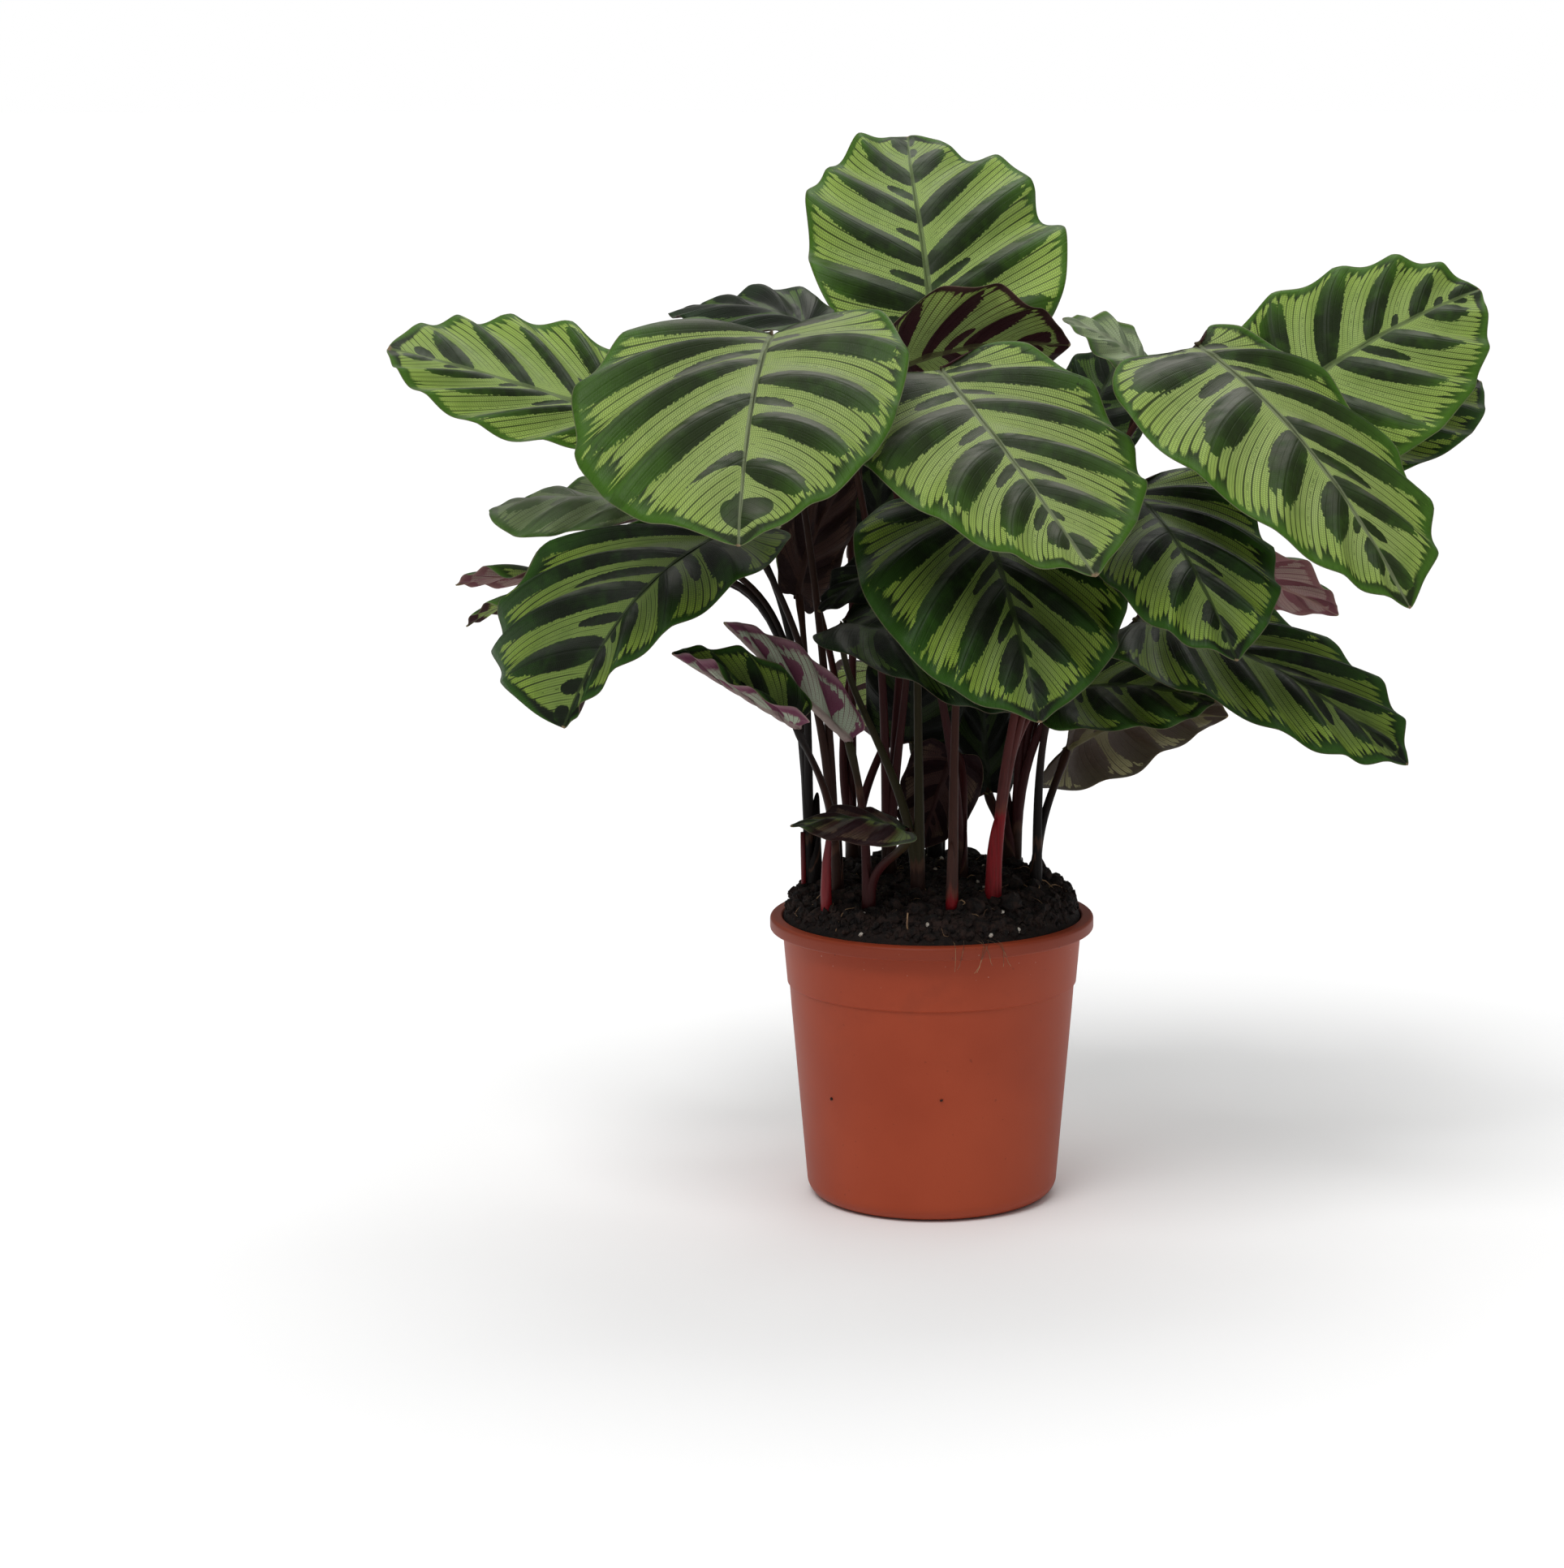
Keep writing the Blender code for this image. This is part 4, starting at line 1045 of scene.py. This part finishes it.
def sheath(x, y, radius, height, turn):
    """A thin sheath round a shoot's foot, higher on one side, with a wall that is open at its top."""
    ground, top_level = soil_height(x, y), SHEATH_LEVELS - 1
    points, measures = [], []
    for wall in (0.0, SHEATH_WALL):
        for level in range(SHEATH_LEVELS):
            share = 1 - level / top_level if wall else level / top_level
            for step in range(SHEATH_SIDES):
                angle = 2 * math.pi * step / SHEATH_SIDES
                top = height * (0.62 + 0.38 * math.cos(angle - turn))
                out_x, out_y = polar(radius * (1 - 0.3 * share) - wall, angle)
                points.append((x + out_x, y + out_y, ground - 4 + (top + 4) * share))
                measures.append((0.25 * share, math.cos(angle), 14 + height * share))
    faces = grid_faces(2 * SHEATH_LEVELS, SHEATH_SIDES, closed=True)
    last = len(points) - SHEATH_SIDES
    for step in range(SHEATH_SIDES):
        after = (step + 1) % SHEATH_SIDES
        faces.append((last + step, last + after, after, step))
    return np.array(points), faces, measures


def build_shoot(shoot):
    (x, y), *colours = SHOOTS[shoot]
    leaves = [leaf for leaf in LEAVES if leaf.shoot == shoot]
    radius = 2.7 + 0.4 * len(leaves)
    parts = [sheath(x, y, radius, 30 + 3 * len(leaves), 0.9 * number_of(shoot))]
    for leaf in leaves:
        line = stalk_line(leaf, len(leaves))
        parts.append(tube(line, stalk_radii(line), STALK_SIDES, 0.88))
    points, faces, measures = merge(parts)
    material = stalk_finish(shoot, *colours)
    nodes, measures = [f"shoot_{shoot}"], {"stalk": measures}
    face_outwards(add_piece(f"stalks_{shoot}", points, faces, material, nodes, measures))


# ---------------------------------------------------------------- pot and soil


def arc(centre_r, centre_z, radius, start, end, steps):
    """Points of an arc in the pot's section, angles in degrees from +R towards +Z."""
    found = []
    for step in range(steps + 1):
        r, z = polar(radius, math.radians(start + (end - start) * step / steps))
        found.append((centre_r + r, centre_z + z))
    return found


def pot_section():
    """The pot wall's closed section, from the underside's middle, outside and back inside."""

    def wall(z):
        below = BAND_STEP if z < BAND_FOOT_Z else 0.0
        return FOOT_RADIUS + BAND_STEP + SLOPE * (z - CORNER_RADIUS) - below

    outer = [(0, 0), (GROOVE_INNER - 1.2, 0), (GROOVE_INNER - 0.9, 0.2), (GROOVE_INNER, GROOVE_DEPTH)]
    outer += [(GROOVE_OUTER, GROOVE_DEPTH), (GROOVE_OUTER + 0.9, 0.2), (GROOVE_OUTER + 1.2, 0)]
    outer += arc(FOOT_RADIUS - CORNER_RADIUS, CORNER_RADIUS, CORNER_RADIUS, -90, 0, 10)
    outer += [(wall(z), z) for z in (30, 55, 80, 100)]
    outer += [(wall(112), BAND_FOOT_Z - 1.6), (wall(112) + 0.05, BAND_FOOT_Z - 1.0)]
    outer += [(wall(BAND_FOOT_Z) - 0.05, BAND_FOOT_Z - 0.2), (wall(BAND_FOOT_Z), BAND_FOOT_Z + 0.4)]
    rim_foot = POT_HEIGHT - RIM_HEIGHT
    outer += [(wall(128), 128), (wall(rim_foot - 0.6), rim_foot - 0.6), (wall(rim_foot) + 0.6, rim_foot)]
    outer += arc(RIM_RADIUS - 1.2, rim_foot + 1.2, 1.2, -90, 0, 4)
    outer += arc(RIM_RADIUS - 1.8, POT_HEIGHT - 1.8, 1.8, 0, 90, 6)
    inner = [(SOIL_RADIUS + 0.6, POT_HEIGHT), (SOIL_RADIUS, POT_HEIGHT - 0.5)]
    inner += [(wall(rim_foot) - WALL, rim_foot - 2), (FOOT_RADIUS - WALL, CORNER_RADIUS)]
    inner += [(FOOT_RADIUS - CORNER_RADIUS + 3, FLOOR + 1), (GROOVE_OUTER + 2, FLOOR)]
    inner += [(GROOVE_OUTER, GROOVE_DEPTH + FLOOR), (GROOVE_INNER, GROOVE_DEPTH + FLOOR)]
    return outer + inner + [(GROOVE_INNER - 1, FLOOR), (0, FLOOR)]


def turned(section, steps):
    """Points and faces of a section turned about Z; its first and last points are on the axis."""
    angles = 2 * math.pi * np.arange(steps) / steps
    points = [(0.0, 0.0, section[0][1])]
    for radius, z in section[1:-1]:
        points += [(radius * c, radius * s, z) for c, s in zip(np.cos(angles), np.sin(angles))]
    points.append((0.0, 0.0, section[-1][1]))
    faces = grid_faces(len(section) - 2, steps, 1, closed=True)
    last = len(points) - 1
    faces += [(0, 1 + (s + 1) % steps, 1 + s) for s in range(steps)]
    faces += [(last - steps + s, last - steps + (s + 1) % steps, last) for s in range(steps)]
    return np.array(points), faces


def build_pot():
    points, faces = turned(pot_section(), POT_STEPS)
    pot = add_piece("clay_pot", points, faces, pot_finish(), ["pot"])
    face_outwards(pot)
    middle = (GROOVE_INNER + GROOVE_OUTER) / 2
    group = bpy.data.collections.new("drains")
    bpy.context.scene.collection.children.link(group)
    for hole in range(DRAIN_HOLES):
        place = polar(middle, 2 * math.pi * (hole + 0.5) / DRAIN_HOLES)
        line = [Vector((*place, z)) for z in (-5, 12)]
        cutter_points, cutter_faces, _ = tube(line, [DRAIN_RADIUS] * 2, 32)
        mesh = bpy.data.meshes.new("drain")
        mesh.from_pydata((cutter_points * MM).tolist(), [], cutter_faces)
        group.objects.link(bpy.data.objects.new("drain", mesh))
    cut = pot.modifiers.new("drains", "BOOLEAN")
    cut.operand_type = "COLLECTION"
    cut.collection = group
    bpy.context.view_layer.update()
    graph = bpy.context.evaluated_depsgraph_get()
    finished = bpy.data.meshes.new_from_object(pot.evaluated_get(graph))
    pot.modifiers.clear()
    pot.data = finished
    for cutter in list(group.objects):
        bpy.data.objects.remove(cutter)
    bpy.data.collections.remove(group)
    finished.shade_smooth()
    finished.set_sharp_from_angle(angle=math.radians(35))


def soil_surface(x, y):
    """Height of the crumbly surface."""
    across = min(1.0, math.hypot(x, y) / SOIL_RADIUS)
    place = Vector((x, y, 9.1))
    clump = noise.noise(place / 5.5) * 1.7 + noise.noise(place / 2.3) * 0.9 + noise.noise(place / 1.1) * 0.4
    worn = 22 * (across**10 - across**20)
    return soil_height(x, y) - worn + clump * (1 - 0.45 * across**12)


def build_soil():
    """The soil's crumbly top and its plain sides and underside in the pot."""
    shares = (np.arange(1, SOIL_RINGS + 1) / SOIL_RINGS) ** 0.8
    points = [(0.0, 0.0, soil_surface(0, 0))]
    angles = 2 * math.pi * np.arange(SOIL_STEPS) / SOIL_STEPS
    for share in shares:
        radius = (SOIL_RADIUS - 0.6) * share
        for angle in angles:
            place = polar(radius, angle)
            points.append((*place, soil_surface(*place)))
    lower = (
        (BODY_TOP_RADIUS - WALL - 0.6, POT_HEIGHT - RIM_HEIGHT - 4),
        (FOOT_RADIUS - WALL - GAP, CORNER_RADIUS + 1),
        (GROOVE_OUTER + 2, GROOVE_DEPTH + FLOOR + GAP),
        (GROOVE_INNER - 3, GROOVE_DEPTH + FLOOR + GAP),
    )
    for radius, z in lower:
        points += [(*polar(radius, angle), z) for angle in angles]
    rings = SOIL_RINGS + len(lower)
    faces = grid_faces(rings, SOIL_STEPS, 1, closed=True)
    faces += [(0, 1 + s, 1 + (s + 1) % SOIL_STEPS) for s in range(SOIL_STEPS)]
    faces.append(tuple(range(len(points) - SOIL_STEPS, len(points)))[::-1])
    soil = add_piece("soil_body", points, faces, soil_finish(), ["soil"])
    face_outwards(soil)


def ball(detail):
    """Points and faces of a unit icosphere."""
    made = bmesh.new()
    bmesh.ops.create_icosphere(made, subdivisions=detail, radius=1.0)
    points = np.array([tuple(v.co) for v in made.verts])
    faces = [tuple(v.index for v in face.verts) for face in made.faces]
    made.free()
    return points, faces


def lump(draw, template, place, size, rough):
    """One irregular crumb."""
    points, faces = template
    stretch = 1 + rough * draw.uniform(-1, 1, 3)
    jitter = 1 + rough * 0.7 * draw.uniform(-1, 1, (len(points), 1))
    turn = np.linalg.qr(draw.normal(size=(3, 3)))[0]
    return (points * stretch * jitter) @ turn * size + place, faces, []


def anywhere(draw, reach, nearest, farthest=1.0):
    """An x and y that are spread evenly over a ring; nearest and farthest are squared shares of reach."""
    radius = reach * math.sqrt(draw.uniform(nearest, farthest))
    return polar(radius, draw.uniform(0, 2 * math.pi))


def build_crumbs():
    """Loose crumbs and clods of soil, two splashes on the pot, and white bits of perlite."""
    draw = np.random.default_rng(7)
    balls = {1: ball(1), 2: ball(2)}
    crumbs = []
    for count, low, high, detail, nearest, farthest in CRUMBS:
        for _ in range(count):
            x, y = anywhere(draw, SOIL_RADIUS, nearest**2, farthest**2)
            size = draw.uniform(low, high)
            z = soil_surface(x, y) + size * draw.uniform(-0.3, 0.35)
            crumbs.append(lump(draw, balls[detail], (x, y, z), size, 0.42))
    for angle, z in SPLASHES:
        radius = FOOT_RADIUS + SLOPE * (z - CORNER_RADIUS) + SPLASH_OUT
        place = (*polar(radius, math.radians(angle - 90)), z)
        crumbs.append(lump(draw, balls[1], place, 0.8, 0.4))
    add_heap("soil_crumbs", crumbs, crumb_finish()).data.shade_flat()

    bits = list(WHITE_BITS)
    for _ in range(MORE_WHITE_BITS):
        bits.append((*anywhere(draw, SOIL_RADIUS - 4, 0.02), draw.uniform(0.5, 1.3)))
    perlite = []
    for x, y, size in bits:
        perlite.append(lump(draw, balls[2], (x, y, soil_surface(x, y) + size * 0.45), size, 0.3))
    add_heap("perlite", perlite, perlite_finish())


def build_fibres():
    """Fine roots and straws on the soil, and a few that hang over the rim."""
    draw = np.random.default_rng(21)
    fibres = []
    for _ in range(STRAWS):
        start = Vector((*anywhere(draw, SOIL_RADIUS - 6, 0.05), 0))
        heading = draw.uniform(0, 2 * math.pi)
        length = draw.uniform(5, 16)
        line = []
        for step in range(STRAW_STEPS + 1):
            heading += draw.uniform(-0.35, 0.35)
            lift = math.sin(math.pi * step / STRAW_STEPS) * length * 0.12
            z = soil_surface(start.x, start.y) + 0.5 + lift
            line.append(Vector((start.x, start.y, z)))
            start = start + Vector((*polar(1.0, heading), 0)) * (length / STRAW_STEPS)
            if start.length > SOIL_RADIUS - 3:
                start = start * ((SOIL_RADIUS - 3) / start.length)
                heading += 0.9
        fibres.append(tube(line, [draw.uniform(0.14, 0.34)] * len(line), 5))
    over_rim = ((76, 151.5), (81, 151.2), (85.0, 150.0), (85.6, 146))
    for _ in range(RIM_ROOTS):
        turn = math.radians(draw.uniform(8, 25) - 90)
        drop = draw.uniform(3, 8)
        sway = draw.uniform(-0.03, 0.03)
        line = []
        for radius, z in over_rim + ((84.6, 143 - drop * 0.5), (83.2, 143 - drop)):
            turn += sway
            line.append(Vector((*polar(radius, turn), z)))
        fibres.append(tube(line, [RIM_ROOT_RADIUS] * len(line), 5))
    twig = [Vector(place) for place in ((-12, -72, 155), (-12.6, -73, 160), (-12.2, -74, 166))]
    fibres.append(tube(twig, [0.5, 0.45, 0.35], 6))
    add_heap("root_fibres", fibres, fibre_finish())


def build_sprouts():
    """A red sprout and the stub of a cut stalk, both rising from the soil."""
    finish = Finish("sprout", specular=0.3)
    up, angle, along = finish.measure("stalk")
    streak = finish.grain(finish.vector(angle * 1.6, along * 0.05, 5.0), 2.4, 3.0)
    red = finish.coat((112, 14, 22), (up.ramp(0.35, 0.95), (78, 18, 24)))
    red = finish.coat(red, (streak.ramp(0.45, 0.75) * 0.4, (66, 16, 22)))
    finish.paint(red, streak * 0.25 + 0.34)
    sprout = [(-54, -44, 156), (-54.4, -44, 170), (-54, -44.5, 186), (-52.4, -45, 202), (-51.4, -45.4, 209)]
    stub = [(-67, 2, 150), (-67.3, 2, 170), (-67.6, 2, 184), (-67.8, 2, 193)]
    parts = []
    for places, radii in ((sprout, (3.0, 2.9, 2.4, 1.3, 0.25)), (stub, (1.5, 1.4, 1.3, 1.1))):
        line = [Vector(place) for place in places]
        parts.append(tube(line, radii, 14))
    points, faces, measures = merge(parts)
    add_piece("sprouts", points, faces, finish.material, measures={"stalk": measures})


# ---------------------------------------------------------------- stage


class Sky(Finish):
    """Even light from all round, brighter from above, in front of a plain white wall."""

    def __init__(self):
        world = bpy.data.worlds.new("studio")
        world.use_nodes = True
        bpy.context.scene.world = world
        self.tree = world.node_tree
        self.surface = self.tree.nodes["Background"]
        upwards = self.apart(self.node("ShaderNodeTexCoord"))[2]
        seen = self.node("ShaderNodeLightPath")
        light = upwards.ramp(0.0, 1.0) * (SKY_TOP - SKY_LOW) + SKY_LOW
        self.put(self.surface.inputs["Color"], (255, 255, 255))
        self.put(self.surface.inputs["Strength"], light + (WALL_SEEN - light) * seen)


def add_sun(name, place, strength, spread):
    """A wide soft lamp, far off in the direction of a place."""
    lamp = bpy.data.lights.new(name, "SUN")
    lamp.energy = strength
    lamp.angle = math.radians(spread)
    holder = bpy.data.objects.new(name, lamp)
    holder.rotation_euler = Vector(place).to_track_quat("Z", "Y").to_euler()
    bpy.context.scene.collection.objects.link(holder)


def build_stage():
    """A pale floor, soft studio light and the camera."""
    scene = bpy.context.scene
    mesh = bpy.data.meshes.new("floor")
    made = bmesh.new()
    bmesh.ops.create_circle(made, cap_ends=True, segments=96, radius=FLOOR_RADIUS)
    made.to_mesh(mesh)
    made.free()
    floor = bpy.data.objects.new("floor", mesh)
    floor.location.z = -FLOOR_DROP
    finish = Finish("floor", roughness=0.95, specular=0.2)
    finish.surface.inputs["Base Color"].default_value = FLOOR_COLOUR
    mesh.materials.append(finish.material)
    scene.collection.objects.link(floor)

    Sky()
    for name, (place, strength, spread) in SUNS.items():
        add_sun(name, place, strength, spread)

    lens = bpy.data.cameras.new("camera")
    lens.sensor_width = SENSOR_WIDTH
    lens.lens = LENS
    lens.shift_x = SHIFT
    camera = bpy.data.objects.new("camera", lens)
    camera.location = CAMERA_PLACE
    aim = Vector(CAMERA_AIM) - camera.location
    camera.rotation_euler = aim.to_track_quat("-Z", "Y").to_euler()
    scene.collection.objects.link(camera)
    scene.camera = camera
    scene.view_settings.view_transform = "Standard"


build_stage()
build_pot()
build_soil()
build_crumbs()
build_fibres()
build_sprouts()
for leaf_number, one_leaf in enumerate(LEAVES):
    build_blade(one_leaf, leaf_number)
for one_shoot in SHOOTS:
    build_shoot(one_shoot)
